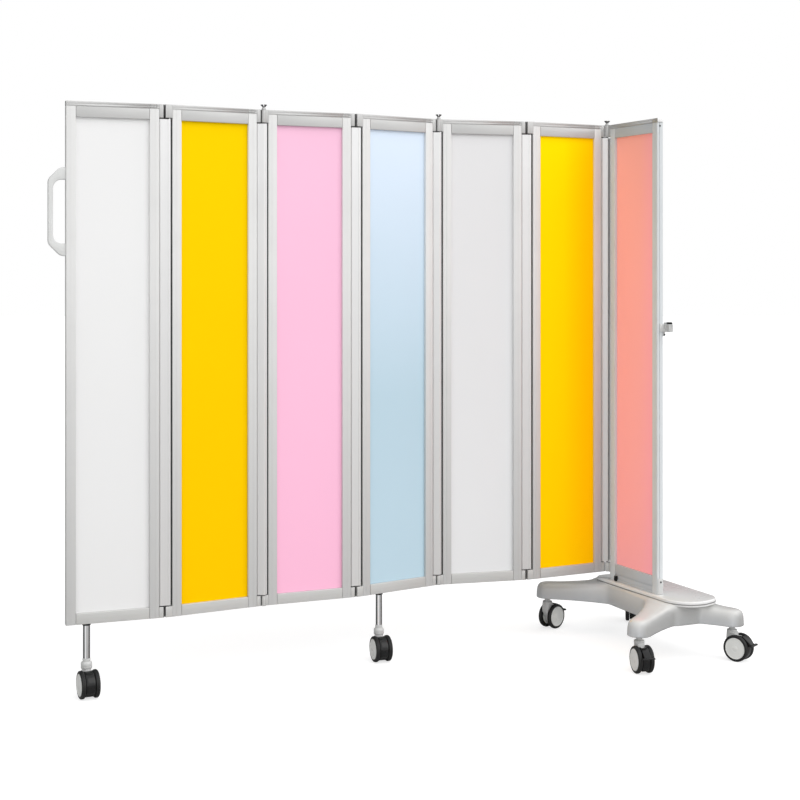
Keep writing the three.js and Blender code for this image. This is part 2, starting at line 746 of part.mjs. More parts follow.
// An arm from under the deck to a round end over its caster stem
function chassisArm(alongSign, acrossSign) {
  const tip = new THREE.Vector2(alongSign * stemAlong, acrossSign * stemAcross);
  const rootAcross = acrossSign > 0 ? chassisBack - armRootInset : armRootInset - chassisFront;
  const root = new THREE.Vector2(alongSign * armRootAlong, rootAcross);
  const length = tip.distanceTo(root);
  const along = tip.clone().sub(root).divideScalar(length);
  const across = new THREE.Vector2(-along.y, along.x);
  const straightSteps = 6;
  const endStepsDegrees = [25, 50, 75];
  const sectionSteps = 10;
  const flareShare = 2.4;
  const stations = [];
  for (let step = 0; step <= straightSteps; step += 1) {
    const share = step / straightSteps;
    const flare = (1 - share) ** flareShare;
    const halfAcross = armEndHalfWidth + (armRootHalfWidth - armEndHalfWidth) * flare;
    stations.push({ at: share * length, halfAcross, share });
  }
  endStepsDegrees.forEach((angle) => stations.push({
    at: length + armEndHalfWidth * Math.sin(degrees(angle)),
    halfAcross: armEndHalfWidth * Math.cos(degrees(angle)),
    share: 1,
  }));
  const rings = stations.map(({ at, halfAcross, share }) => {
    const top = armRootTop + (armEndTop - armRootTop) * THREE.MathUtils.smoothstep(share, 0, 1);
    const place = (offset, height) => new THREE.Vector3(
      root.x + along.x * at + across.x * offset,
      root.y + along.y * at + across.y * offset,
      height,
    );
    const ring = [place(-halfAcross, chassisBottom)];
    for (let step = 0; step <= sectionSteps; step += 1) {
      const offset = -halfAcross * Math.cos((Math.PI * step) / sectionSteps);
      const past = Math.max(at - length, 0);
      const fromWall = past > 0
        ? armEndHalfWidth - Math.hypot(past, offset)
        : halfAcross - Math.abs(offset);
      const short = Math.max(chassisEdge - Math.max(fromWall, 0), 0);
      const rounding = chassisEdge - Math.sqrt(chassisEdge ** 2 - short ** 2);
      ring.push(place(offset, top - rounding));
    }
    ring.push(place(halfAcross, chassisBottom));
    return ring;
  });
  return lofted(rings);
}

function chassis() {
  const body = roundedOutline([
    [chassisNear, -chassisFront, chassisCorner],
    [chassisNear, chassisBack, chassisCorner],
    [-chassisNear, chassisBack, chassisCorner],
    [-chassisNear, -chassisFront, chassisCorner],
  ]);
  const corners = [[1, -1], [1, 1], [-1, 1], [-1, -1]];
  const arms = corners.map(([alongSign, acrossSign]) => chassisArm(alongSign, acrossSign));
  const sockets = corners.map(([alongSign, acrossSign]) => upright(stemRadius + runningClearance,
    [chassisBottom - cutOverrun, chassisBottom + socketDepth],
    alongSign * stemAlong, acrossSign * stemAcross));
  const solid = joined([moulding(body, [chassisBottom, chassisTop], chassisEdge, 3), ...arms])
    .subtract(joined(sockets));
  return mesh("trolley_chassis", "base_plastic", solid);
}

function deck() {
  const outline = roundedOutline([
    [-deckFar, -deckFront, deckRound],
    [deckShoulderAlong, -deckShoulderAcross, deckRound],
    [deckTip, deckTipAcross, deckRound],
    [deckBackAlong, deckBack, deckRound],
    [-deckFar, deckFarBack, deckRound],
  ]);
  const solid = moulding(outline, [chassisTop + seatClearance, deckTop], deckEdge, 2);
  return mesh("trolley_deck", "base_plastic", solid);
}

function footRail() {
  const half = windowHalfWidth - seatClearance;
  const depth = halfThickness - frameWall;
  const span = [footBottom, frameBottom - seatClearance];
  return mesh("panel_7_foot_rail", "cap_aluminium", block([-half, half], [-depth, depth], span));
}

function trolleyCaster(place) {
  const name = `caster_${place}`;
  const along = place.startsWith("near") ? stemAlong : -stemAlong;
  const across = place.endsWith("right") ? stemAcross : -stemAcross;
  const meshes = [
    casterFork(name),
    wheelPair(`${name}_wheels`, trolleyWheelRadius, trolleyWheelInner),
    brakePedal(name),
  ];
  return casterGroup(name, meshes, along, across, casterHeadingDegrees[place]);
}

// Assembly

function panelGroup(panel) {
  const group = new THREE.Group();
  group.add(frame(panel), infill(panel), topCap(panel));
  if (panel < panelCount) group.add(gapStrip(panel));
  if (panel > 1) group.add(hingeRod(panel));
  if (panel in legHeadingDegrees) group.add(legTube(panel), legCollar(panel), legCaster(panel));
  return group;
}

const screen = new THREE.Group();
screen.name = "ward_screen";
screen.rotation.z = degrees(lastPanelHeadingDegrees);

// The chassis stands a little askew under the last panel
const base = new THREE.Group();
base.name = "trolley_base";
base.rotation.z = degrees(chassisTurnDegrees);
base.add(chassis(), deck(), ...Object.keys(casterHeadingDegrees).map(trolleyCaster));

const lastPanel = panelGroup(panelCount);
lastPanel.add(footRail(), latchBracket(), latchCatch(), base);
screen.add(lastPanel);

// Each panel hangs on its right neighbour's hinge axis, turned to its rest angle
let neighbour = lastPanel;
for (let panel = panelCount - 1; panel >= 1; panel -= 1) {
  const across = hingeSide(panel) * axisAcross;
  const pivot = new THREE.Group();
  pivot.name = `hinge_${panel}`;
  pivot.position.set(axisFromRightPanel, across, 0);
  pivot.rotation.z = -degrees(restTurnDegrees[panel - 1]);
  const group = panelGroup(panel);
  group.position.set(-axisFromLeftPanel, -across, 0);
  if (panel === 1) group.add(handle());
  pivot.add(group);
  neighbour.add(pivot);
  neighbour = group;
}

// The origin goes to the middle of the footprint
screen.updateMatrixWorld(true);
const bounds = new THREE.Box3().setFromObject(screen, true);
const middle = bounds.getCenter(new THREE.Vector3());
screen.position.set(-middle.x, -middle.y, 0);

export default screen;
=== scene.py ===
# %% [markdown]
# # A folding ward screen on a wheeled base
# Seven tall panels are hinged in a zigzag. The last one stands on a trolley with four casters, and
# two legs with casters carry the others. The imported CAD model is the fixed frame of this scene:
# it says where every part is and which body it moves with. Blender adds what the eye sees.

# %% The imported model
import json
import math

import bmesh
import bpy
from mathutils import Matrix, Vector

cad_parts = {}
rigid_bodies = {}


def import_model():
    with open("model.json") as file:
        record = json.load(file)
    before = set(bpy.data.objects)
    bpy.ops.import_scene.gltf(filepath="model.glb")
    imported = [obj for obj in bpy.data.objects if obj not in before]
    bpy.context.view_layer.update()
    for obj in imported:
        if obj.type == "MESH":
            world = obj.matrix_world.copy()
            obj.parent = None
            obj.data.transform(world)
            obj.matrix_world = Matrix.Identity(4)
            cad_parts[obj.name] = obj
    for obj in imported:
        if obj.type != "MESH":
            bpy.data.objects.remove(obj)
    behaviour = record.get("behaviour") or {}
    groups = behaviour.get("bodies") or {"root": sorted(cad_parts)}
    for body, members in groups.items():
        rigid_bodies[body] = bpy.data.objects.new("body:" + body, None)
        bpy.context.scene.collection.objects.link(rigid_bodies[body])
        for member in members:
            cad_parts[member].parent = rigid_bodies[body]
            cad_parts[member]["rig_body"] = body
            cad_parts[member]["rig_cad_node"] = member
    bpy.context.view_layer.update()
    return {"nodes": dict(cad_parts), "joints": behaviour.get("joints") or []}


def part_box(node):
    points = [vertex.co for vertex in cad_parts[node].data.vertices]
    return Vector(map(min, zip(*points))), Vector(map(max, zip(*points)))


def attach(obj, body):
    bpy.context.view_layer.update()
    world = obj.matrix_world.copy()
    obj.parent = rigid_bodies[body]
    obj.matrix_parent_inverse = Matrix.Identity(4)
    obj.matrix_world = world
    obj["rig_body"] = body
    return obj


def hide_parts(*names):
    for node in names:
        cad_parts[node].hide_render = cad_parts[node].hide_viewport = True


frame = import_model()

nodes, joints = frame["nodes"], {joint["name"]: joint for joint in frame["joints"]}

# %% [markdown]
# ## The view
# The picture was taken level, from chest height, with the lens shifted down so that the upright
# lines stay upright. A camera that looks straight along +Y with a vertical shift does the same.
# Tilting the camera would make the panels lean.

# %% Camera
camera_place = (-0.0554, -4.5534, 1.1965)
lens_mm = 66.78
horizon_shift = -0.16875

camera_data = bpy.data.cameras.new("view")
camera_data.sensor_width = 36
camera_data.lens = lens_mm
camera_data.shift_y = horizon_shift
camera = bpy.data.objects.new("view", camera_data)
camera.location = camera_place
camera.rotation_euler = (math.radians(90), 0, 0)
bpy.context.scene.collection.objects.link(camera)
bpy.context.scene.camera = camera
bpy.context.scene.view_settings.view_transform = "Standard"
print("camera at", camera_place, "lens", lens_mm)

# %% [markdown]
# ## Helpers for shader nodes
# A material here is a Principled shader with its maps wired in. Colours are given as they look on
# a screen, 0 to 255, and turned into the linear values that the shader wants.


# %% Colours and nodes
def paint(red, green, blue):
    """Screen colour to the shader's linear colour"""
    linear = [
        (value / 255 / 12.92) if value <= 10 else ((value / 255 + 0.055) / 1.055) ** 2.4
        for value in (red, green, blue)
    ]
    return (*linear, 1.0)


def add_node(tree, kind, sockets=(), **settings):
    """A node with its settings, and its sockets linked or filled in"""
    made = tree.nodes.new("ShaderNode" + kind)
    for key, value in settings.items():
        setattr(made, key, value)
    for key, source in dict(sockets).items():
        if isinstance(source, bpy.types.NodeSocket):
            tree.links.new(source, made.inputs[key])
        else:
            made.inputs[key].default_value = source
    return made


def mixed_colour(tree, factor, first, second, blend="MIX"):
    """The colour between two others"""
    sockets = {0: factor, 6: first, 7: second}
    return add_node(tree, "Mix", sockets, data_type="RGBA", blend_type=blend).outputs[2]


def ranged(tree, value, low, high, to_low, to_high):
    """A value moved from one range to another"""
    sockets = {"Value": value, "From Min": low, "From Max": high, "To Min": to_low, "To Max": to_high}
    return add_node(tree, "MapRange", sockets).outputs["Result"]


def new_material(name):
    """A material, its node tree and its Principled shader"""
    material = bpy.data.materials.new(name)
    material.use_nodes = True
    return material, material.node_tree, material.node_tree.nodes["Principled BSDF"]


def effect(name, inputs, outputs):
    """An empty node group with named sockets"""
    group = bpy.data.node_groups.new(name, "ShaderNodeTree")
    for label, kind, value in inputs:
        socket = group.interface.new_socket(label, in_out="INPUT", socket_type="NodeSocket" + kind)
        if value is not None:
            socket.default_value = value
    for label, kind in outputs:
        group.interface.new_socket(label, in_out="OUTPUT", socket_type="NodeSocket" + kind)
    return group, group.nodes.new("NodeGroupInput").outputs, group.nodes.new("NodeGroupOutput").inputs


print("light grey", [round(value, 3) for value in paint(200, 200, 200)])

# %% [markdown]
# ## Studio light
# Polished and brushed metal shows what stands round it, so the surroundings matter more than the
# lamps. The room is brightest towards the right front, where the big softbox is, and dim at the
# back left. That gives the bright end of the last panel and the dark free edge of the first.
# One broad sun adds the faint shadows to the left of the casters.

# %% Surroundings
room_bright, room_dim = 1.26, 0.10
dim_from, bright_from = -0.35, 0.28
softbox_direction = Vector((0.62, -0.70, 0.35)).normalized()

world = bpy.data.worlds.new("studio")
world.use_nodes = True
bpy.context.scene.world = world
room = world.node_tree
room.nodes.clear()
direction = add_node(room, "TexCoord").outputs["Generated"]
towards = add_node(room, "VectorMath", {0: direction, 1: softbox_direction}, operation="DOT_PRODUCT")
falloff = ranged(room, towards.outputs["Value"], dim_from, bright_from, room_dim, room_bright)
falloff.node.interpolation_type = "SMOOTHSTEP"
to_camera = add_node(room, "LightPath").outputs["Is Camera Ray"]
strength = add_node(room, "Mix", {0: to_camera, 2: falloff, 3: 1.0}).outputs[0]
back = add_node(room, "Background", {"Color": (1, 1, 1, 1), "Strength": strength})
add_node(room, "OutputWorld", {"Surface": back.outputs[0]})

sun_strength, sun_spread = 0.7, 50
sun_direction = Vector((0.70, -0.38, 0.62))
sun_data = bpy.data.lights.new("softbox", "SUN")
sun_data.energy = sun_strength
sun_data.angle = math.radians(sun_spread)
sun = bpy.data.objects.new("softbox", sun_data)
sun.rotation_euler = sun_direction.to_track_quat("Z", "Y").to_euler()
bpy.context.scene.collection.objects.link(sun)
print("room", room_dim, "to", room_bright, "sun", sun_strength)

# %% [markdown]
# ## Effects that several finishes share
# Drawn aluminium has fine lines along its length. Moulded plastic has a faint orange peel, and its
# gloss is never quite even. Things on wheels gather dust near the floor. Each is a node group, so a
# finish only picks its own values.

# %% Lines along a drawn metal bar
drawn_lines, given, gives = effect(
    "drawn_lines",
    [("Place", "Vector", None), ("Across", "Float", 1600.0), ("Along", "Float", 4.0)],
    [("Lines", "Float"), ("Bands", "Float")],
)
stretch = add_node(
    drawn_lines, "CombineXYZ", {0: given["Across"], 1: given["Across"], 2: given["Along"]}
)
stretched = add_node(
    drawn_lines, "VectorMath", {0: given["Place"], 1: stretch.outputs[0]}, operation="MULTIPLY"
)
fine = add_node(drawn_lines, "TexNoise", {"Vector": stretched.outputs[0], "Scale": 1.0, "Detail": 3.0})
wide = add_node(drawn_lines, "TexNoise", {"Vector": stretched.outputs[0], "Scale": 0.12, "Detail": 1.0})
drawn_lines.links.new(fine.outputs[0], gives["Lines"])
drawn_lines.links.new(wide.outputs[0], gives["Bands"])

# %% Uneven gloss and the skin of a moulding
moulded_skin, given, gives = effect(
    "moulded_skin",
    [("Place", "Vector", None), ("Cloud size", "Float", 9.0), ("Grain size", "Float", 900.0)],
    [("Clouds", "Float"), ("Grain", "Float")],
)
for size, output, detail in (("Cloud size", "Clouds", 3.0), ("Grain size", "Grain", 2.0)):
    noise = add_node(
        moulded_skin, "TexNoise", {"Vector": given["Place"], "Scale": given[size], "Detail": detail}
    )
    moulded_skin.links.new(noise.outputs[0], gives[output])

# %% Dust that thickens towards the floor
floor_dust, given, gives = effect(
    "floor_dust",
    [("Place", "Vector", None), ("Height", "Float", 0.12), ("Amount", "Float", 0.3)],
    [("Dust", "Float")],
)
height = add_node(floor_dust, "SeparateXYZ", {0: given["Place"]}).outputs["Z"]
low_down = add_node(
    floor_dust, "MapRange", {"Value": height, "From Min": given["Height"], "From Max": 0.0}
)
patches = add_node(floor_dust, "TexNoise", {"Vector": given["Place"], "Scale": 55.0, "Detail": 6.0})
patchy = ranged(floor_dust, patches.outputs[0], 0.35, 0.7, 0.2, 1.0)
dusty = add_node(floor_dust, "Math", {0: low_down.outputs[0], 1: patchy}, operation="MULTIPLY")
amount = add_node(floor_dust, "Math", {0: dusty.outputs[0], 1: given["Amount"]}, operation="MULTIPLY")
floor_dust.links.new(amount.outputs[0], gives["Dust"])
print("effects", [group.name for group in bpy.data.node_groups])

# %% [markdown]
# ## Finishes
# Every finish starts from the same recipe: a colour that the clouds shift a little, a roughness
# with its own range, a bump from the grain, and dust low down. Bars of metal use their own
# lengthwise place, kept in the attribute `own`, so the lines run along each bar whichever way its
# panel is turned. Everything else reads Object coordinates.
#
# Two looks are painted over a finish, by the way a face is turned. A thin chromed tube gets a
# painted reflection, a darker colour at its sides for the dark cards, and a painted highlight, a
# glow near its middle, for the strip light. The trolley's right front sides get a painted shade,
# darker than its top, for the grey floor that they mirror.


# %% The recipe
def finish(name, colour, shade, rough, metallic=0.0, lines=0.0, grain=0.0, painted_height_shade=None, dust=0.0,
           grain_size=900.0, sockets=()):
    """A procedural finish: colour and its clouded shade, a painted shade by height, a range of
    roughness, lines, grain, dust
    """
    material, tree, shader = new_material(name)
    place = add_node(tree, "TexCoord").outputs["Object"]
    own = add_node(tree, "Attribute", attribute_name="own").outputs["Vector"] if lines else place
    skin = add_node(tree, "Group", {"Place": own, "Grain size": grain_size}, node_tree=moulded_skin)
    tint = ranged(tree, skin.outputs["Clouds"], 0.3, 0.7, 0.0, 1.0)
    shown = mixed_colour(tree, tint, paint(*colour), paint(*[value * shade for value in colour]))
    # painted light and shade by height: below low the colour is the bottom one, above high the finish's
    # own
    if painted_height_shade:
        low, high, bottom = painted_height_shade
        level = add_node(tree, "SeparateXYZ", {0: place}).outputs["Z"]
        shown = mixed_colour(tree, ranged(tree, level, low, high, 0.0, 1.0), paint(*bottom), shown)
    if dust:
        film = add_node(tree, "Group", {"Place": place, "Amount": dust}, node_tree=floor_dust)
        shown = mixed_colour(tree, film.outputs["Dust"], shown, paint(176, 170, 160))
    uneven = ranged(tree, skin.outputs["Clouds"], 0.3, 0.7, *rough)
    bump_height = skin.outputs["Grain"]
    if lines:
        drawn = add_node(tree, "Group", {"Place": own}, node_tree=drawn_lines)
        bump_height = drawn.outputs["Lines"]
        streak = ranged(tree, drawn.outputs["Lines"], 0.3, 0.7, -lines, lines)
        uneven = add_node(tree, "Math", {0: uneven, 1: streak}, operation="ADD").outputs[0]
        band = ranged(tree, drawn.outputs["Bands"], 0.35, 0.65, 1.0 - lines / 2, 1.0)
        shown = mixed_colour(tree, 1.0, shown, band, "MULTIPLY")
    bump = add_node(tree, "Bump", {"Height": bump_height, "Strength": grain, "Distance": 0.0004})
    tree.links.new(bump.outputs["Normal"], shader.inputs["Normal"])
    tree.links.new(shown, shader.inputs["Base Color"])
    tree.links.new(uneven, shader.inputs["Roughness"])
    shader.inputs["Metallic"].default_value = metallic
    for key, value in dict(sockets).items():
        shader.inputs[key].default_value = value
    return material


# %% Metals
# stile_metal and strip_metal get darker towards the bottom, a painted shade, and rail_metal a little
# lighter towards the bottom, painted light against the shade low down
stile_metal = finish("stile_metal", (229, 229, 228), 0.98, (0.42, 0.48), metallic=0.28, lines=0.03,
                     grain=0.1, painted_height_shade=(0.15, 1.2, (193, 193, 192)))
rail_metal = finish("rail_metal", (197, 197, 196), 0.98, (0.38, 0.46), metallic=0.4, lines=0.03,
                    grain=0.12, painted_height_shade=(0.2, 1.6, (204, 204, 202)))
# the last panel's bars: a darker, bluer copy of the frame metal, a painted shade for a panel that
# stands in shade
end_stile_metal = finish("end_stile_metal", (217, 221, 223), 0.98, (0.45, 0.5), lines=0.03,
                         grain=0.1, sockets={"Specular IOR Level": 0.15})
end_rail_metal = finish("end_rail_metal", (197, 202, 207), 0.98, (0.42, 0.48), lines=0.03,
                        grain=0.12, sockets={"Specular IOR Level": 0.15})
strip_metal = finish("strip_metal", (236, 236, 236), 0.985, (0.32, 0.38), metallic=0.35, lines=0.02,
                     grain=0.08, painted_height_shade=(0.15, 1.65, (212, 211, 210)))
rod_metal = finish("rod_metal", (116, 118, 120), 0.8, (0.22, 0.34), metallic=1.0, grain=0.2)
chrome = finish("chrome", (232, 234, 236), 0.96, (0.05, 0.09), metallic=1.0, grain=0.02)
print("metals ready")

# %% Painted reflection and painted highlight on the round chrome
def overlaid(material, find_share, colour):
    """Lays a second colour over a finish, where find_share says so"""
    tree = material.node_tree
    shown = tree.nodes["Principled BSDF"].inputs["Base Color"]
    beneath = shown.links[0].from_socket
    tree.links.new(mixed_colour(tree, find_share(tree), beneath, paint(*colour)), shown)


def dark_cards(tree):
    """The outer thirds of a round bar, which get the painted dark reflection"""
    facing = add_node(tree, "LayerWeight", {"Blend": 0.5}).outputs["Facing"]
    return ranged(tree, facing, 0.15, 0.29, 0.0, 0.9)


# painted reflection: the chrome's sides darken to a dark grey, for the dark cards that it would mirror
overlaid(chrome, dark_cards, (58, 60, 62))
# painted highlight: the chrome glows white in a narrow band near the middle of the tube, for the strip
# light it would mirror
highlight_at, highlight_core, highlight_edge, painted_highlight_glow = -0.05, 0.06, 0.22, 0.40
tree = chrome.node_tree
outward = add_node(tree, "TexCoord").outputs["Normal"]
sideways = add_node(tree, "SeparateXYZ", {0: outward}).outputs["X"]
aside = add_node(tree, "Math", {0: sideways, 1: highlight_at}, operation="SUBTRACT")
off_middle = add_node(tree, "Math", {0: aside.outputs[0]}, operation="ABSOLUTE").outputs[0]
streak = ranged(tree, off_middle, highlight_core, highlight_edge, painted_highlight_glow, 0.0)
chrome_shader = tree.nodes["Principled BSDF"]
chrome_shader.inputs["Emission Color"].default_value = (1, 1, 1, 1)
tree.links.new(streak, chrome_shader.inputs["Emission Strength"])
# both are painted: the glow near the middle and the darker colour at the sides
print("chrome shows its strip light and its dark cards")

# %% Plastics and rubber
# the shell is darker low down, below its upper part: a painted shade by height
shell_plastic = finish("shell_plastic", (211, 211, 209), 0.98, (0.20, 0.27), grain=0.04,
                       painted_height_shade=(0.116, 0.148, (196, 198, 200)),
                       sockets={"Coat Weight": 0.25, "Coat Roughness": 0.12})
# lighter than the shell's plastic: painted light that makes up for the shade the panels cast on the
# deck
deck_plastic = finish("deck_plastic", (231, 231, 230), 0.98, (0.22, 0.30), grain=0.04,
                      sockets={"Coat Weight": 0.3, "Coat Roughness": 0.12})
# dark plastic for a painted shadow: the band that stands for the shade in the gap under the deck's lid
joint_plastic = finish("joint_plastic", (134, 134, 133), 0.9, (0.40, 0.50), grain=0.2)
grip_plastic = finish("grip_plastic", (219, 220, 219), 0.97, (0.34, 0.42), grain=0.25,
                      grain_size=1500.0)
fitting_plastic = finish("fitting_plastic", (203, 204, 203), 0.96, (0.28, 0.38), grain=0.2, dust=0.1)
cap_plastic = finish("cap_plastic", (244, 244, 244), 0.98, (0.30, 0.38), grain=0.15)
disc_plastic = finish("disc_plastic", (238, 239, 236), 0.97, (0.26, 0.36), grain=0.15, dust=0.04)
black_plastic = finish("black_plastic", (18, 19, 20), 0.8, (0.16, 0.26), grain=0.1, dust=0.012,
                       sockets={"Specular IOR Level": 0.35})
tyre_rubber = finish("tyre_rubber", (28, 29, 30), 0.85, (0.40, 0.52), grain=0.5, dust=0.03,
                     grain_size=1300.0, sockets={"Specular IOR Level": 0.35})


def low_sides(tree):
    """The sides that face the softbox get a painted shade, for the grey floor that they mirror"""
    outward = add_node(tree, "TexCoord").outputs["Normal"]
    right_front = (0.85, -0.53, -0.05)
    facing = add_node(tree, "VectorMath", {0: outward, 1: right_front}, operation="DOT_PRODUCT")
    return ranged(tree, facing.outputs["Value"], 0.42, 0.90, 0.0, 0.95)


# painted shade: the shell's sides that face right and front are darker than its top
overlaid(shell_plastic, low_sides, (162, 162, 161))
# dark plastic for the painted shadow in the gap between the horns
liner_plastic = finish("liner_plastic", (52, 52, 53), 0.85, (0.42, 0.52), grain=0.2)
# black for the real rubber seals, and also for the pads that are a painted shadow at the strip's ends
seal_rubber = finish("seal_rubber", (28, 28, 29), 0.85, (0.45, 0.55), grain=0.4)
screw_steel = finish("screw_steel", (86, 88, 90), 0.85, (0.25, 0.35), metallic=1.0, grain=0.2)
print("finishes", len(bpy.data.materials))


# %% [markdown]
# ## Infill sheets
# The sheets are satin coloured plastic, 4 mm thick. The CAD nodes already have their exact shape,
# so they stay and only get a finish. Their colours carry painted light: a painted reflection of a
# neighbour tints the orange and the salmon sheet to one side, a painted shade changes each sheet's
# colour from the top down, and those two sheets glow a little, a painted glow for the light that
# shines through them.

# %% Finishes of the sheets
def sheet_finish(name, top, bottom, side=None, towards_x=None, glow=0.0, fade_from=0.25):
    """Satin sheet: painted shade down its height, a painted reflection to one side, a painted glow"""
    material, tree, shader = new_material(name)
    place = add_node(tree, "TexCoord").outputs["Object"]
    axes = add_node(tree, "SeparateXYZ", {0: place}).outputs
    # painted shade: the colour goes from the bottom colour to the top one with height
    shown = mixed_colour(
        tree, ranged(tree, axes["Z"], fade_from, 1.6, 0.0, 1.0), paint(*bottom), paint(*top)
    )
    # painted reflection: a neighbour's colour comes in towards one side of the sheet
    if side:
        share = ranged(tree, axes["X"], *towards_x, 0.0, 1.0)
        shown = mixed_colour(tree, share, shown, paint(*side))
    skin = add_node(tree, "Group", {"Place": place, "Cloud size": 2.2, "Grain size": 1400.0},
                    node_tree=moulded_skin)
    veil = ranged(tree, skin.outputs["Clouds"], 0.3, 0.7, 0.985, 1.0)
    tree.links.new(mixed_colour(tree, 1.0, shown, veil, "MULTIPLY"), shader.inputs["Base Color"])
    uneven = ranged(tree, skin.outputs["Clouds"], 0.3, 0.7, 0.42, 0.5)
    tree.links.new(uneven, shader.inputs["Roughness"])
    bump = add_node(
        tree, "Bump", {"Height": skin.outputs["Grain"], "Strength": 0.1, "Distance": 0.0002}
    )
    tree.links.new(bump.outputs["Normal"], shader.inputs["Normal"])
    shader.inputs["Specular IOR Level"].default_value = 0.02
    # painted glow: the sheet glows in its own colour, for light that shines through it
    if glow:
        tree.links.new(shown, shader.inputs["Emission Color"])
        shader.inputs["Emission Strength"].default_value = glow
    return material


# top and bottom colour of the painted shade, the painted reflection's colour and where across the sheet
# it comes in, the painted glow, and the height where the painted shade starts
sheet_colours = {
    1: ((241, 241, 241), (231, 231, 231)),
    2: ((254, 212, 0), (253, 200, 0)),
    3: ((253, 200, 226), (252, 190, 218)),
    4: ((225, 239, 255), (189, 214, 227), None, None, 0.0, 0.8),
    5: ((231, 231, 232), (230, 231, 232)),
    6: ((254, 219, 0), (254, 200, 0), (255, 184, 0), (0.47, 0.62), 0.16),
    7: ((250, 170, 157), (252, 170, 172), (252, 166, 190), (0.70, 0.78), 0.185),
}
for number, colours in sheet_colours.items():
    sheet = nodes[f"panel_{number}_infill"]
    sheet.data.materials.clear()
    sheet.data.materials.append(sheet_finish(f"sheet_{number}", *colours))
print("sheets", len(sheet_colours))

# %% [markdown]
# ## Where each panel and caster stands
# Pieces are modelled in millimetres in the place of one panel or caster, and then set where the
# CAD has it. A panel's place comes from its sheet: the broad face gives the direction, and the
# next panel says which end is the right one. A caster's place comes from its joints, and the
# base stands in the middle of its four casters.


# %% Places
MM = 0.001
UP = Vector((0, 0, 1))


def placed(along, origin):
    """From a piece's own millimetres, with +X along and the origin on the floor, to the row frame"""
    along = Vector((along[0], along[1], 0)).normalized()
    axes = Matrix((along, UP.cross(along), UP)).transposed().to_4x4()
    return Matrix.Translation((origin[0], origin[1], 0)) @ axes @ Matrix.Scale(MM, 4)


def panel_middle(number):
    low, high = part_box(f"panel_{number}_infill")
    return (low + high) / 2


panel_at = {}
for number in range(1, 8):
    broad = max(nodes[f"panel_{number}_infill"].data.polygons, key=lambda face: face.area)
    along = UP.cross(broad.normal)
    ahead = panel_middle(min(number + 1, 7)) - panel_middle(min(number, 6))
    if along.dot(ahead) < 0:
        along.negate()
    panel_at[number] = placed(along, panel_middle(number))

wheeled = ("leg_1", "leg_4", "near_left", "near_right", "far_left", "far_right")
caster_at = {}
for name in wheeled:
    pivot, axle = (Vector(joints[f"{name}_{part}"]["pos_m"]) for part in ("swivel", "roll"))
    caster_at[name] = placed(axle - pivot, pivot)
middles = {
    end: sum((caster_at[f"{end}_{side}"].translation for side in ("left", "right")), Vector()) / 2
    for end in ("near", "far")
}
base_at = placed(middles["near"] - middles["far"], (middles["near"] + middles["far"]) / 2)
end_at = panel_at[7]
print("panels", [tuple(round(value, 3) for value in at.translation) for at in panel_at.values()])


# %% [markdown]
# ## Modelling helpers
# These few functions wrap the operators that a modeller uses by hand. A primitive is added with
# nothing else selected, parts of it are picked by their place, and then extruded, bevelled or spun.

# %% Starting and picking
def start(primitive, name, **place):
    """Adds a primitive with nothing else selected and opens it in edit mode"""
    bpy.ops.object.select_all(action="DESELECT")
    getattr(bpy.ops.mesh, f"primitive_{primitive}_add")(**place)
    bpy.ops.object.transform_apply(location=True, rotation=True, scale=True)
    piece = bpy.context.object
    piece.name = piece.data.name = name
    bpy.ops.object.mode_set(mode="EDIT")
    return piece


def pick(kind, test=None):
    """Selects the corners, edges or faces whose middle and size pass the test"""
    bpy.ops.mesh.select_mode(type=kind)
    bpy.ops.mesh.select_all(action="DESELECT")
    mesh = bpy.context.object.data
    shape = bmesh.from_edit_mesh(mesh)
    chosen = 0
    for part in {"VERT": shape.verts, "EDGE": shape.edges, "FACE": shape.faces}[kind]:
        corners = [part.co] if kind == "VERT" else [corner.co for corner in part.verts]
        low = Vector(map(min, zip(*corners)))
        high = Vector(map(max, zip(*corners)))
        if test is None or test((low + high) / 2, high - low):
            part.select_set(True)
            chosen += 1
    bmesh.update_edit_mesh(mesh)
    return chosen


def extrude(x=0.0, y=0.0, z=0.0):
    bpy.ops.mesh.extrude_region_move(TRANSFORM_OT_translate={"value": (x, y, z)})


def bevel(size, segments, test, kind="EDGE"):
    """Rounds the picked edges, or the picked corners of a flat face"""
    if pick(kind, test):
        affect = "EDGES" if kind == "EDGE" else "VERTICES"
        bpy.ops.mesh.bevel(offset=size, segments=segments, affect=affect, clamp_overlap=True)


def close(piece, angle=32.0):
    """Merges doubles, turns the faces outwards and shades the piece smooth up to an angle"""
    pick("VERT")
    bpy.ops.mesh.remove_doubles(threshold=0.002)
    bpy.ops.mesh.normals_make_consistent(inside=False)
    bpy.ops.object.mode_set(mode="OBJECT")
    bpy.ops.object.shade_smooth_by_angle(angle=math.radians(angle))
    return piece


# %% Drawing an outline, pushing it to length, and turning a profile
def outline(name, corners, plane="XY", level=0.0):
    """A flat face whose corners are pulled, one by one, to the given ones"""
    first, second, third = {"XY": (0, 1, 2), "XZ": (0, 2, 1), "YZ": (1, 2, 0)}[plane]
    piece = start("circle", name, vertices=len(corners), radius=1, fill_type="NGON")
    bpy.ops.mesh.select_mode(type="VERT")
    for index, corner in enumerate(corners):
        goal = Vector((0, 0, 0))
        goal[first], goal[second], goal[third] = corner[0], corner[1], level
        bpy.ops.mesh.select_all(action="DESELECT")
        shape = bmesh.from_edit_mesh(piece.data)
        shape.verts.ensure_lookup_table()
        shape.verts[index].select_set(True)
        step = goal - shape.verts[index].co
        bmesh.update_edit_mesh(piece.data)
        bpy.ops.transform.translate(value=step)
    return piece


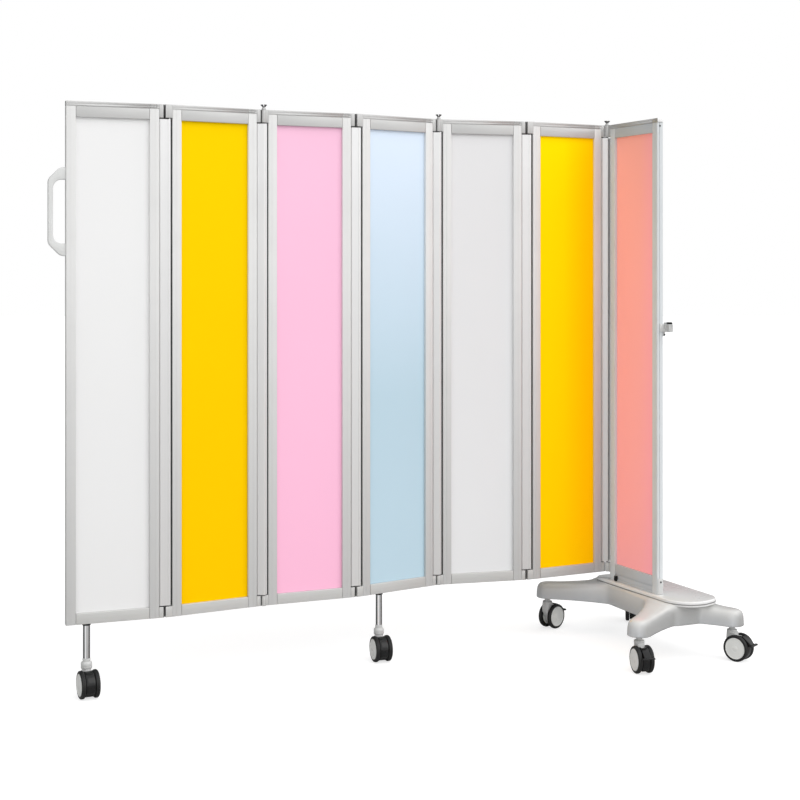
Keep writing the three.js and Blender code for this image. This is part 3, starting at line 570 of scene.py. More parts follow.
def pushed(name, corners, plane, span, rounds=()):
    """An outline with some corners rounded, extruded from one end of its span to the other"""
    piece = outline(name, corners, plane, span[0])
    for size, segments, test in rounds:
        bevel(size, segments, test, "VERT")
    pick("FACE")
    extrude(**{{"XY": "z", "XZ": "y", "YZ": "x"}[plane]: span[1] - span[0]})
    return piece


def turned(name, profile, sides, angle=32.0):
    """Draws half a section, as (radius, height), and spins it round the upright axis"""
    piece = start("plane", name, size=1)
    bpy.ops.mesh.merge(type="CENTER")
    bpy.ops.transform.translate(value=(profile[0][0], 0, profile[0][1]))
    for (radius, height), (next_radius, next_height) in zip(profile, profile[1:]):
        extrude(next_radius - radius, 0, next_height - height)
    bpy.ops.mesh.select_all(action="SELECT")
    bpy.ops.mesh.spin(steps=sides, angle=math.tau, center=(0, 0, 0), axis=(0, 0, 1))
    return close(piece, angle)


def block(name, x, y, z, edge, segments=3):
    """A block between two x, two y and two z, with all its edges rounded"""
    middle = [(low + high) / 2 for low, high in (x, y, z)]
    size = [high - low for low, high in (x, y, z)]
    piece = start("cube", name, size=1, location=middle, scale=size)
    bevel(edge, segments, None)
    return close(piece)


def crossed(name, reach, half, z, edge, angle):
    """Two bars that cross at right angles, to cut a cross slot"""
    turns = [Matrix.Rotation(math.radians(angle + more), 4, "Z") for more in (0, 90)]
    return [moved(block(name, (-reach, reach), (-half, half), z, edge, 1), turn) for turn in turns]


def arc(middle_x, middle_y, radius, first, last, steps):
    """Corners on an arc, from one angle to another in degrees"""
    turns = [math.radians(first + (last - first) * step / steps) for step in range(steps + 1)]
    return [(middle_x + radius * math.cos(turn), middle_y + radius * math.sin(turn)) for turn in turns]


# %% Copying, joining, cutting and setting in
def copied(piece, name):
    """A copy with its own mesh"""
    twin = piece.copy()
    twin.data = piece.data.copy()
    twin.name = twin.data.name = name
    bpy.context.scene.collection.objects.link(twin)
    return twin


def joined(name, pieces):
    bpy.ops.object.select_all(action="DESELECT")
    for piece in pieces:
        piece.select_set(True)
    bpy.context.view_layer.objects.active = pieces[0]
    bpy.ops.object.join()
    pieces[0].name = pieces[0].data.name = name
    return pieces[0]


def modified(piece, kind, **settings):
    """Adds a modifier with its settings and applies it"""
    bpy.ops.object.select_all(action="DESELECT")
    bpy.context.view_layer.objects.active = piece
    piece.select_set(True)
    change = piece.modifiers.new(kind.lower(), kind)
    for key, value in settings.items():
        setattr(change, key, value)
    bpy.ops.object.modifier_apply(modifier=change.name)
    return piece


def cut(piece, cutters):
    """Takes the cutters' shapes out of the piece"""
    for cutter in cutters:
        modified(piece, "BOOLEAN", operation="DIFFERENCE", object=cutter, solver="EXACT")
        bpy.data.objects.remove(cutter)
    return piece


def moved(piece, matrix):
    piece.data.transform(matrix)
    return piece


def painted(piece, material):
    piece.data.materials.clear()
    piece.data.materials.append(material)
    return piece


def set_in(piece, at, body, stands_for=(), lengthwise=2):
    """Keeps the piece's own place, with its length on Z, then sets it where the CAD has it"""
    own = piece.data.attributes.new("own", "FLOAT_VECTOR", "POINT")
    order = [axis for axis in range(3) if axis != lengthwise] + [lengthwise]
    for corner, value in zip(piece.data.vertices, own.data):
        value.vector = [corner.co[axis] * MM for axis in order]
    piece.data.transform(at)
    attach(piece, body)
    if stands_for:
        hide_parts(*stands_for)
    return piece


def body_of(panel):
    """The last panel is part of the trolley"""
    return "trolley" if panel == 7 else f"panel_{panel}"


def on_panel(shape, name, panel, stands_for=(), lengthwise=2):
    """Sets a copy of the shape on a panel"""
    return set_in(copied(shape, name), panel_at[panel], body_of(panel), stands_for, lengthwise)


def discard(*pieces):
    for piece in pieces:
        bpy.data.objects.remove(piece)


def on_casters(shape, names, ending, body, node):
    """Sets a copy of the shape on each of the named casters"""
    for name in names:
        part = copied(shape, f"{name}_{ending}")
        set_in(part, caster_at[name], f"{name}_{body}", [node.format(name)])
    discard(shape)


def count(word):
    """How many modelled pieces have the word in their name"""
    return sum(word in item.name for item in bpy.data.objects if item.name not in nodes)


HALF_TURN = Matrix.Rotation(math.pi, 4, "Z")
print("helpers ready")

# %% [markdown]
# ## Stiles and rails
# A stile is an aluminium extrusion: one cross-section pushed through a die. So its outline is
# drawn flat, its outer corners are rounded, and it is extruded to length. The inner side has the
# slot that holds the sheet, the outer side has a channel, and a fine line runs down each face.
# The right stile is the same bar turned half round. The rails sit between the stiles with a hair
# of a gap, which is the dark joint line that the real frame shows. The last panel stands across
# the others, in shade, and shows less of its neighbours' gloss, so its bars get a darker, bluer
# copy of the metal that is not metallic: a painted shade.

# %% Sizes of the frame
half_width, half_depth, stile_width = 129.5, 11.0, 27.0
frame_bottom, rail_top, frame_top = 202.0, 1636.0, 1650.0
window_bottom, window_top = 233.0, 1606.0
deck_top = 180.0
slot_half, slot_depth = 2.4, 10.5
groove_low, groove_high, groove_depth = 1.5, 3.5, 2.0
joint_gap = 0.9


def side_of(panel):
    """+1 where the hinge at the panel's right has its axis at the back, -1 at the front"""
    return 1 if panel % 2 else -1


# %% One stile, and its copies
def stile(name, bottom):
    inner = stile_width - half_width
    outer = -half_width
    line_start, line_end, line_floor = outer + 10.6, outer + 11.4, half_depth - 0.5
    corners = [
        (outer, -half_depth), (line_start, -half_depth), (line_start, -line_floor),
        (line_end, -line_floor), (line_end, -half_depth), (inner, -half_depth), (inner, -slot_half),
        (inner - slot_depth, -slot_half), (inner - slot_depth, slot_half), (inner, slot_half),
        (inner, half_depth), (line_end, half_depth), (line_end, line_floor),
        (line_start, line_floor), (line_start, half_depth), (outer, half_depth), (outer, groove_high),
        (outer + groove_depth, groove_high), (outer + groove_depth, groove_low), (outer, groove_low),
    ]
    rounds = [
        (2.2, 4, lambda at, size: at.x < outer + 0.1 and abs(at.y) > half_depth - 0.1),
        (1.0, 3, lambda at, size: at.x > inner - 0.1 and abs(at.y) > half_depth - 0.1),
    ]
    return close(pushed(name, corners, "XY", (bottom, rail_top), rounds))


for kind, bottom, panels in (("short", frame_bottom, range(1, 7)), ("long", deck_top + 0.3, [7])):
    left = painted(stile(f"{kind}_stile", bottom), end_stile_metal if kind == "long" else stile_metal)
    right = moved(copied(left, f"{kind}_right_stile"), HALF_TURN)
    for panel in panels:
        for side, shape in (("left", left), ("right", right)):
            name = f"panel_{panel}_{side}_stile"
            on_panel(shape, name, panel, [f"panel_{panel}_frame"])
    discard(left, right)
print("stiles", count("stile"))


# %% Rails, with the sheet's slot on the window side
def rail(name, edge_z, window_z):
    """A rail from its outer edge to the window, between the stiles"""
    reach = half_width - stile_width - joint_gap
    towards = 1 if window_z > edge_z else -1
    floor_z = window_z - towards * slot_depth
    corners = [
        (-half_depth, edge_z), (half_depth, edge_z), (half_depth, window_z), (slot_half, window_z),
        (slot_half, floor_z), (-slot_half, floor_z), (-slot_half, window_z), (-half_depth, window_z),
    ]
    rounds = [(1.1, 3, lambda at, size: abs(at.y) > half_depth - 0.1)]
    piece = pushed(name, corners, "YZ", (-reach, reach), rounds)
    bevel(0.5, 2, lambda at, size: abs(at.x) > reach - 0.1 and abs(at.y) > half_depth - 0.5
          and size.z > 5)
    return close(piece)


rails = {
    "top": rail("top_rail", rail_top, window_top),
    "bottom": rail("bottom_rail", frame_bottom, window_bottom),
}
for panel in panel_at:
    for place, shape in rails.items():
        painted(shape, end_rail_metal if panel == 7 else rail_metal)
        name = f"panel_{panel}_{place}_rail"
        on_panel(shape, name, panel, [f"panel_{panel}_frame"], lengthwise=0)
discard(*rails.values())
print("rails", count("rail"))

# %% [markdown]
# ## Top caps
# A cap strip closes each frame from above. It overhangs a narrow neck, which leaves the thin dark
# line over the rail, and a fine groove runs along its face. Over the right stile a few upright
# lines are cut. The two free ends of the screen are rounded, so those caps get their end corner
# bevelled.

# %% Caps
cap_half = half_width - 0.3
cap_rounds = [(1.8, 4, lambda at, size: at.z > frame_top - 0.1)]
line_width, line_places = 0.9, (103.0, 107.2, 111.4, 115.6, 119.8)
cap_profile = [
    (-9.4, 1636.3), (9.4, 1636.3), (9.4, 1638.0), (11.0, 1638.0), (11.0, 1642.4), (10.5, 1642.8),
    (10.5, 1643.4), (11.0, 1643.8), (11.0, 1650.0), (-11.0, 1650.0), (-11.0, 1643.8),
    (-10.5, 1643.4), (-10.5, 1642.8), (-11.0, 1642.4), (-11.0, 1638.0), (-9.4, 1638.0),
]
for panel, at in panel_at.items():
    cap = pushed(f"panel_{panel}_cap_strip", cap_profile, "YZ", (-cap_half, cap_half), cap_rounds)
    if panel in (1, 7):
        end = -cap_half if panel == 1 else cap_half
        bevel(3.5, 4, lambda at, size: abs(at.x - end) < 0.1 and at.z > frame_top - 0.1
              and size.y > 5)
    close(cap)
    lines = [block("line", (x, x + line_width), (-11.5, -10.3), (1637.4, 1648.6), 0.1, 1)
             for x in line_places]
    painted(cut(cap, lines), rail_metal)
    set_in(cap, at, body_of(panel), [f"panel_{panel}_top_cap"], lengthwise=0)
print("caps", count("cap_strip"))

# %% [markdown]
# ## Hinges
# Between two panels a grey horn stands out from each frame, top and bottom. The right panel's horn
# carries the barrel with the hinge rod. The barrel is at the back where the screen folds back to
# back, and at the front where it folds front to front. Each horn is an outline seen from above,
# with the barrel's arc in it, extruded to its height, and the rod's bore is cut out.

# %% Horns
axis_left, axis_right, axis_depth = 150.0, -144.0, 12.5
barrel_radius, bore_radius = 6.0, 3.2
horn_spans = {"top": (1612.0, frame_top), "bottom": (frame_bottom, 232.0)}


def drilled(piece, x, y, low, high):
    """Cuts an upright bore for a hinge rod"""
    bore = start("cylinder", "bore", vertices=24, radius=bore_radius, depth=high - low,
                 location=(x, y, (low + high) / 2))
    return cut(piece, [close(bore)])


def left_panel_horns(name):
    """The pair on the left panel: plain blocks, each with a dark block where the horns meet, a painted
    shadow for the gap between them
    """
    parts = []
    for low, high in horn_spans.values():
        horn = block(name, (129.6, 141.4), (-half_depth, half_depth), (low, high), 0.8)
        parts.append(painted(horn, rail_metal))
        # a dark block in the narrow gap between the horns: a painted shadow for the shade in that gap
        liner = block("liner", (141.0, 143.6), (-10.4, 10.4), (low + 0.4, high - 0.6), 0.4, 2)
        parts.append(painted(liner, liner_plastic))
    return joined(name, parts)


def right_panel_horns(name, side):
    """The pair on the right panel: blocks with the barrel of the hinge"""
    parts = []
    curve = [(x, side * y) for x, y in arc(axis_right, axis_depth, barrel_radius, 205, -14.5, 16)]
    face = side * half_depth
    corners = [(-129.6, -face), (-149.3, -face), *curve, (-129.6, face)]
    for low, high in horn_spans.values():
        horn = pushed(name, corners, "XY", (low, high))
        bevel(0.9, 3, lambda at, size: size.z < 0.1 and (at.z < low + 0.1 or at.z > high - 0.1))
        close(horn)
        drilled(horn, axis_right, side * axis_depth, low - 2, high + 2)
        parts.append(painted(horn, rail_metal))
    return joined(name, parts)


plain_horns = left_panel_horns("plain_horns")
barrel_horns = {side: right_panel_horns("barrel_horns", side) for side in (1, -1)}
for panel in range(1, 7):
    for shape, name, holder in ((plain_horns, "right_horns", panel),
                                (barrel_horns[side_of(panel)], "left_horns", panel + 1)):
        on_panel(shape, f"panel_{holder}_{name}", holder, [f"panel_{holder}_frame"])
discard(plain_horns, *barrel_horns.values())
print("horns", count("horns"))

# %% [markdown]
# ## Gap strips
# A strip on the left panel closes the gap between two frames. Its section is a channel: a face
# with two low ridges, a wall against the stile, and a leaf that ends in the rod's barrel. The
# section is drawn once, and flipped front to back for every second hinge.

# %% Strips
strip_low, strip_high = 235.0, 1608.4


def gap_strip(name, side):
    back_section = [
        (129.8, 7.0), (129.8, -5.0), (131.8, -5.0), (131.8, -8.9), (134.6, -8.9), (135.2, -8.0),
        (154.5, -8.0), (155.1, -8.9), (162.0, -8.9), (162.0, -4.5), (135.5, -4.5), (135.5, 5.0),
        (axis_left, 5.0), *arc(axis_left, axis_depth, barrel_radius, -90, -12, 6), (160.0, 11.4),
        (160.0, 13.0), *arc(axis_left, axis_depth, barrel_radius, 5, 124, 9), (134.4, 9.2),
        (134.4, 10.4), (131.8, 10.4), (131.8, 7.0),
    ]
    section = [(x, side * y) for x, y in back_section]
    piece = pushed(name, section, "XY", (strip_low, strip_high))
    bevel(0.7, 2, lambda at, size: size.z > 100 and at.y * side < -8.5 and (at.x < 132 or at.x > 161))
    close(piece)
    drilled(piece, axis_left, side * axis_depth, strip_low - 2, strip_high + 2)
    return painted(piece, strip_metal)


strips = {side: gap_strip("gap_strip", side) for side in (1, -1)}
for panel in range(1, 7):
    name, node = f"panel_{panel}_gap_strip", f"gap_strip_{panel}"
    on_panel(strips[side_of(panel)], name, panel, [node])
discard(*strips.values())
print("strips", count("gap_strip"))

# %% [markdown]
# ## Seals
# Black rubber closes what is left of each gap. One profile with a long lip reaches behind the
# strip's face, and a bulb fills the other side beside the barrel. Both ride on the right panel, so
# they open with it. Thin black pads lie between the strip's ends and the horns, a painted shadow
# for the dark line in the gap under each horn.

# %% Seals, and black pads for the painted shadow at the strip's ends
def hinge_seal(name, side):
    """Two profiles along the left stile of the right panel"""
    lip = [(-129.7, -5.2), (-131.6, -5.2), (-132.2, -2.4), (-147.5, -2.3), (-147.5, -0.9),
           (-129.7, -0.9)]
    bulb = [(-129.7, 8.4), (-132.6, 8.4), (-133.3, 6.0), (-132.6, 3.2), (-129.7, 3.2)]
    parts, rounds = [], [(0.8, 3, lambda at, size: abs(at.y) > 5 and at.x < -131)]
    for corners in (lip, bulb):
        section = [(x, side * y) for x, y in corners]
        parts.append(close(pushed(name, section, "XY", (strip_low - 0.1, strip_high + 0.1), rounds)))
    return painted(joined(name, parts), seal_rubber)


# black pads between the strip's ends and the horns, a painted shadow for the dark line in the gap under
# each horn
def end_washers(name):
    parts = [block(name, (129.8, 157.6), (-8.4, 8.4), span, 0.4, 2)
             for span in ((strip_high + 0.2, 1611.2), (232.8, strip_low - 0.2))]
    return painted(joined(name, parts), seal_rubber)


seals = {side: hinge_seal("seal", side) for side in (1, -1)}
washers = end_washers("washers")
for panel in range(1, 7):
    on_panel(seals[side_of(panel)], f"hinge_seal_{panel}", panel + 1)
    on_panel(washers, f"strip_washers_{panel}", panel)
discard(*seals.values(), washers)
print("seals", count("hinge_seal"))

# %% [markdown]
# ## Hinge rods
# The rods at the back end flush with the frame, and their CAD nodes only need a steel finish. The
# three at the front end in a flared crown with a cross slot, turned like a screw and then cut,
# over a small pale cone.

# %% Rods
for panel in (1, 3, 5):
    painted(nodes[f"hinge_rod_{panel}"], rod_metal)

rod_profile = [
    (0, 202.2), (3.0, 202.2), (3.0, 1655.0), (3.4, 1656.2), (9.3, 1662.4), (9.4, 1663.4),
    (8.8, 1664.0), (4.6, 1664.0), (3.4, 1661.0), (0, 1660.4),
]
headed_rod = turned("headed_rod", rod_profile, 32)
painted(cut(headed_rod, crossed("slot", 10, 1.7, (1658.8, 1666), 0.2, 68)), rod_metal)
cone_profile = [
    (3.1, 1650.3), (6.4, 1650.3), (6.6, 1651.2), (5.9, 1652.2), (4.2, 1655.4), (3.7, 1656.2),
    (3.1, 1656.2), (3.1, 1650.3),
]
cone = painted(turned("cone", cone_profile, 32), rail_metal)
headed_rod = joined("headed_rod", [headed_rod, cone])
moved(headed_rod, Matrix.Translation((axis_right, -axis_depth, 0)))
for panel in (2, 4, 6):
    on_panel(headed_rod, f"headed_rod_{panel}", panel + 1, [f"hinge_rod_{panel}"])
discard(headed_rod)
print("rods with heads", count("headed_rod"))

# %% [markdown]
# ## Pull handle
# The handle is a moulded D with thick feet. Its side view is drawn as an outline with the finger
# opening as a notch, the corners are rounded, it is extruded to its depth, and every edge gets a
# soft round so that it looks pleasant to hold.

# %% Handle
handle_edge = -129.8
handle_corners = [
    (handle_edge, 1221), (handle_edge, 1256), (-149.8, 1256), (-163.8, 1270), (-163.8, 1418),
    (-149.8, 1432), (handle_edge, 1432), (handle_edge, 1467), (-143.8, 1467), (-177.8, 1433),
    (-177.8, 1255), (-143.8, 1221),
]
handle_half, handle_rounds = 7.0, [(9.0, 5, lambda at, size: at.x < -140)]
handle = pushed("handle_grip", handle_corners, "XZ", (-handle_half, handle_half), handle_rounds)
bevel(3.2, 4, lambda at, size: size.y < 0.1 and at.x < handle_edge - 0.1)
painted(close(handle, 40), grip_plastic)
set_in(handle, panel_at[1], "panel_1", ["pull_handle"])
print("handle corners", len(handle.data.vertices))


# %% [markdown]
# ## Screws
# A small dark cap screw is used in several places. It is turned with a low dome, and a cross
# recess is cut into it.

# %% One screw
screw_profile = [(0, 0), (2.9, 0), (2.9, 0.9), (2.4, 1.5), (1.2, 1.9), (0, 2.0)]
screw = turned("screw", screw_profile, 20)
painted(cut(screw, crossed("recess", 1.6, 0.4, (1.0, 3), 0.1, 45)), screw_steel)
FACING_RIGHT = Matrix.Rotation(math.radians(90), 4, "Y")


def screw_on_edge(name, x, y, z):
    """A screw whose head faces along +X"""
    return moved(copied(screw, name), Matrix.Translation((x, y, z)) @ FACING_RIGHT)


print("screw corners", len(screw.data.vertices))

# %% [markdown]
# ## Latch
# On the outer edge of the last panel sits a small latch. A plate wraps the stile's back corner, an
# arm with grooved sides stands out behind it, and a lug with a screw holds it to the back face. A
# black catch turns on a pin in the arm.

# %% Latch bracket and catch
arm_across, arm_half = 20.0, 7
latch_span, rib_span = (990, 1014), (992.5, 1010.5)
plate = block("latch_plate", (129.8, 132.8), (-2, 21), latch_span, 1.0)
painted(plate, stile_metal)
lug = block("latch_lug", (117.8, 132.6), (11.3, 16.3), (977, 1013), 1.0)
arm_low, arm_high = arm_across - arm_half, arm_across + arm_half
arm = block("latch_arm", (130.5, 158.8), (arm_low, arm_high), latch_span, 1.6)
root = block("latch_root", (130.2, 138.6), (arm_low - 1, arm_high), (1000, 1019.5), 1.4)
grooves = [block("groove", (x, x + 1.8), (arm_low - 1, arm_low + 1), rib_span, 0.2, 1)
           for x in (140.5, 145.5, 150.5)]
grooves += [block("groove", (158, 159.5), (y, y + 1.8), rib_span, 0.2, 1)
            for y in (15.6, 19.2, 22.8)]
cut(arm, grooves)
for part in (lug, arm, root):
    painted(part, fitting_plastic)
latch_body = joined("latch_body", [plate, lug, arm, root])
set_in(latch_body, end_at, "trolley", ["latch_bracket"])
set_in(screw_on_edge("latch_screw", 132.5, 13.8, 981.5), end_at, "trolley")

catch_corners = [(139.8, -3), (142.5, -5.2), (158.8, -4.6), (158.8, 4.8), (142.5, 5.2), (139.8, 3)]
catch_rounds = [(1.2, 3, lambda at, size: True)]
catch = pushed("latch_thumb", catch_corners, "XY", (1014.3, 1020.3), catch_rounds)
bevel(1.0, 3, lambda at, size: size.z < 0.1 and at.z > 1020)
close(catch)
catch_pin = start("cylinder", "catch_pin", vertices=20, radius=2.5, depth=14,
                  location=(144.6, 0, 1007.6))
bevel(0.4, 2, lambda at, size: size.z < 0.1)
painted(joined("latch_thumb", [catch, close(catch_pin)]), black_plastic)
moved(catch, Matrix.Translation((0, arm_across, 0)))
set_in(catch, end_at, "catch", ["latch_catch"])
print("latch made")

# %% [markdown]
# ## Fittings of the last panel
# The outer end of the last panel shows a white plug with a raised square in the cap's end, a dark
# screw below it, and a foot plate with a screw where the stile meets the deck. A light rail closes
# the frame's foot, and a small black clip sits beside the inner stile.

# %% End plug, end screw, foot plates, foot rail and clip
plug = block("plug", (129.3, 131.4), (-10.6, 10.6), (1637.6, 1649.4), 0.8)
square = block("square", (131.0, 132.2), (-5, 5), (1639.0, 1648.0), 0.4, 2)
painted(joined("end_plug", [plug, square]), cap_plastic)
set_in(plug, end_at, "trolley")
set_in(screw_on_edge("end_screw", 129.5, -1.0, 1626), end_at, "trolley")

foot_plate = block("foot_plate", (129.7, 132.4), (-9.6, 9.6), (180.4, 228.0), 1.0)
painted(foot_plate, fitting_plastic)
inner_plate = moved(copied(foot_plate, "inner_foot_plate"), HALF_TURN)
set_in(foot_plate, end_at, "trolley")
set_in(inner_plate, end_at, "trolley")
set_in(screw_on_edge("foot_screw", 132.4, 0, 218), end_at, "trolley")
discard(screw)

foot_rail = block("foot_rail", (-102.0, 102.0), (-9.4, 9.4), (180.5, 201.6), 1.4)
ledge = block("ledge", (-101.0, 101.0), (-12.4, 12.4), (180.3, 184.6), 1.2)
painted(joined("foot_rail", [foot_rail, ledge]), end_rail_metal)
set_in(foot_rail, end_at, "trolley", ["panel_7_foot_rail"], lengthwise=0)

clip = block("foot_clip", (-98, -86), (-17.5, -10.5), (180.8, 197.0), 1.6)
knob = moved(turned("knob", [(0, 0), (3.0, 0), (3.0, 2.0), (2.4, 2.6), (0, 2.6)], 20),
             Matrix.Translation((-92, -17.0, 190)) @ Matrix.Rotation(math.radians(90), 4, "X"))
painted(joined("foot_clip", [clip, knob]), black_plastic)
set_in(clip, end_at, "trolley")
print("end fittings made")

# %% [markdown]
# ## Trolley shell
# The base is one soft moulding whose arms flow into the body. The CAD solid has the right size but
# hard meeting lines. So a copy of it is merged, remeshed into an even grid, raised a little and
# relaxed. Both grow with height, which melts the arms into the body, gives them a domed back and
# keeps the lower rim crisp. The top is kept below the seat of the deck's lid.

# %% Shell
shell_grid, seam_steps, skin_steps = 0.0034, 110, 2
shell = copied(nodes["trolley_chassis"], "trolley_shell")
# the copy is a piece of its own, without the labels of its CAD node
shell.parent = None
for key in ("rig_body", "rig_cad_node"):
    if key in shell:
        del shell[key]
bpy.ops.object.select_all(action="DESELECT")
bpy.context.view_layer.objects.active = shell
shell.select_set(True)
bpy.ops.object.mode_set(mode="EDIT")
bpy.ops.mesh.select_all(action="SELECT")
bpy.ops.mesh.remove_doubles(threshold=0.00001)
bpy.ops.object.mode_set(mode="OBJECT")
modified(shell, "REMESH", mode="VOXEL", voxel_size=shell_grid)
soft = shell.vertex_groups.new(name="soft")
rim_height, soft_height, dome_rise, lid_seat = 0.108, 0.142, 0.003, 0.1700
for corner in shell.data.vertices:
    share = min(max((corner.co.z - rim_height) / (soft_height - rim_height), 0.0), 1.0)
    soft.add([corner.index], share, "REPLACE")
    corner.co.z = min(corner.co.z + dome_rise * share ** 2, lid_seat)
modified(shell, "SMOOTH", factor=0.5, iterations=seam_steps, vertex_group="soft")
shell.vertex_groups.clear()
modified(shell, "SMOOTH", factor=0.5, iterations=skin_steps)
bpy.ops.object.shade_smooth()
painted(shell, shell_plastic)
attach(shell, "trolley")
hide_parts("trolley_chassis")
print("shell faces", len(shell.data.polygons))

# %% [markdown]
# ## Deck
# The deck is a separate lid on the shell. Its outline is drawn with five corners, which are rounded
# widely, it is extruded to its thickness, and the upper edge gets a generous bevel. It reaches
# a little down past the shell's top as a skirt. Its plastic is lighter than the shell's, painted
# light against the shade that the panels cast on it. A thin dark band round the skirt is a painted
# shadow for the shade in the gap between the lid and the arms.

# %% Deck
deck_corners = [(-200, -41), (225, -14), (272, 56), (236, 152), (-200, 132)]
deck_low, deck_edge, deck_rounds = 164.0, 4.5, [(40.0, 12, lambda at, size: True)]
shadow_line_span, shadow_line_stand_out = (168.8, 171.8), 0.6
deck = pushed("deck_lid", deck_corners, "XY", (deck_low, deck_top), deck_rounds)
bevel(deck_edge, 5, lambda at, size: size.z < 0.1 and at.z > deck_top - 0.1)
painted(close(deck, 50), deck_plastic)
set_in(deck, base_at, "trolley", ["trolley_deck"])

# a painted shadow: a thin dark band round the skirt, for the shade in the gap between the lid and the
# arms
joint = pushed("deck_joint", deck_corners, "XY", shadow_line_span, deck_rounds)
bpy.ops.mesh.select_all(action="SELECT")
bpy.ops.mesh.normals_make_consistent(inside=False)
pick("FACE", lambda at, size: size.z > 1)
bpy.ops.transform.shrink_fatten(value=shadow_line_stand_out)
painted(close(joint, 50), joint_plastic)
set_in(joint, base_at, "trolley")
print("deck corners", len(deck.data.vertices))

# %% [markdown]
# ## Legs
# A leg is a chromed tube with a black bush at the frame, and a pale plastic collar at the foot.
# All of them are round, so each is a profile that is spun. The collar has a neck with a bead, a
# belly and a white foot that reaches down between the wheels.

# %% Tube, bush and collar
leg_places = {1: -72.0, 4: -65.0}
tube = turned("tube", [(7.5, 106.3), (9.5, 106.3), (9.5, 201.7), (7.5, 201.7), (7.5, 106.3)], 40)
bush = turned("bush", [(9.6, 197.4), (10.8, 197.4), (11.6, 198.4), (11.6, 201.8), (9.6, 201.8),
                       (9.6, 197.4)], 40)
foot_profile = [(0, 74.4), (12.6, 74.4), (13.1, 75.0), (13.1, 77.4), (0, 77.4)]
collar_profile = [
    (0, 77.0), (13.4, 77.0), (14.6, 77.8), (15.4, 79.6), (15.4, 83.4), (14.5, 84.4), (14.5, 85.4),
    (15.5, 86.6), (15.5, 91.4), (15.0, 93.6), (13.6, 95.6), (11.4, 96.6), (10.4, 97.6),
    (10.4, 100.4), (11.0, 101.0), (11.0, 102.6), (10.4, 103.2), (10.4, 105.5), (9.9, 106.0),
    (0, 106.0),
]
collar = turned("collar", collar_profile, 40)
painted(tube, chrome)
painted(bush, black_plastic)
painted(collar, fitting_plastic)
foot = painted(turned("foot", foot_profile, 40), cap_plastic)
collar = joined("collar", [collar, foot])
for panel, place in leg_places.items():
    for shape, name, slot, stands_for in (
        (tube, "chrome_tube", "chromed_tube", [f"leg_{panel}_tube"]),
        (bush, "bush", "caster_black", ()),
        (collar, "foot_collar", "caster_grey", [f"leg_{panel}_collar"]),
    ):
        part = moved(copied(shape, f"leg_{panel}_{name}"), Matrix.Translation((place, 0, 0)))
        set_in(part, panel_at[panel], f"panel_{panel}", stands_for)
discard(tube, bush, collar)
print("legs", count("chrome_tube"))

# %% [markdown]
# ## Wheels
# Each caster has two wheels on one axle: a rubber tyre with rounded shoulders, and a pale disc with
# a rim that almost covers the wheel. Both are spun profiles, laid on their side, and the second
# wheel is the first turned half round.

# %% Tyres, discs and axles
trail, tyre_width = 22.0, 12.5
ON_SIDE = Matrix.Rotation(math.radians(-90), 4, "X")


def wheel_pair(radius, inner):
    """The tyres, the discs and the axle of one caster, with the axle along Y"""
    outer = inner + tyre_width
    disc_radius = radius * 0.8
    tyre = turned("tyre", [
        (disc_radius - 3, inner), (radius - 4, inner), (radius - 1.2, inner + 1.1),
        (radius, inner + 3.6), (radius, inner + 4.8), (radius - 0.9, inner + 5.1),
        (radius - 0.9, inner + 5.9), (radius, inner + 6.2), (radius, outer - 4.4),
        (radius - 0.9, outer - 2.0), (radius - 2.6, outer - 0.6), (radius - 4.6, outer),
        (disc_radius + 0.4, outer - 0.3), (disc_radius + 0.2, outer - 2.0),
        (disc_radius - 3, outer - 2.0), (disc_radius - 3, inner),
    ], 56, 40)
    disc = turned("disc", [
        (0, inner + 1.5), (disc_radius - 0.4, inner + 1.5), (disc_radius, outer - 1.4),
        (disc_radius - 0.5, outer + 0.1), (disc_radius - 2.2, outer + 0.4),
        (disc_radius - 3.4, outer - 0.5), (disc_radius - 5.0, outer - 0.7), (10.5, outer - 0.1),
        (9.6, outer - 0.6), (8.6, outer - 0.1), (0, outer + 0.2),
    ], 56, 26)
    axle = turned("axle", [(0, -inner - 2), (4, -inner - 2), (4, inner + 2), (0, inner + 2)], 24)
    lift = Matrix.Translation((trail, 0, radius))
    for part, material in ((tyre, tyre_rubber), (disc, disc_plastic), (axle, rod_metal)):
        painted(moved(part, ON_SIDE), material)
    return tyre, disc, axle, lift


pairs = {"leg": wheel_pair(38.5, 13.7), "trolley": wheel_pair(40.0, 12.5)}
for name in wheeled:
    tyre, disc, axle, lift = pairs["leg" if name.startswith("leg") else "trolley"]
    node = f"{name}_wheels" if name.startswith("leg") else f"caster_{name}_wheels"
    at, body = caster_at[name] @ lift, f"{name}_wheel_pair"
    for side, turn in (("left", Matrix.Identity(4)), ("right", HALF_TURN)):
        set_in(moved(copied(tyre, f"{name}_{side}_tyre"), turn), at, body, [node])
        set_in(moved(copied(disc, f"{name}_{side}_disc"), turn), at, body, [node])
    set_in(copied(axle, f"{name}_axle"), at, body, [node])
for tyre, disc, axle, lift in pairs.values():
    discard(tyre, disc, axle)
print("wheels", count("tyre"))

# %% [markdown]
# ## Forks of the trolley casters
# A pale plastic fork carries the axle between the two wheels. Its side view is an outline with a
# round nose. Above the wheels it widens to a round head with two grooves, and a slimmer neck goes
# up into the arm, so that part is a spun profile.

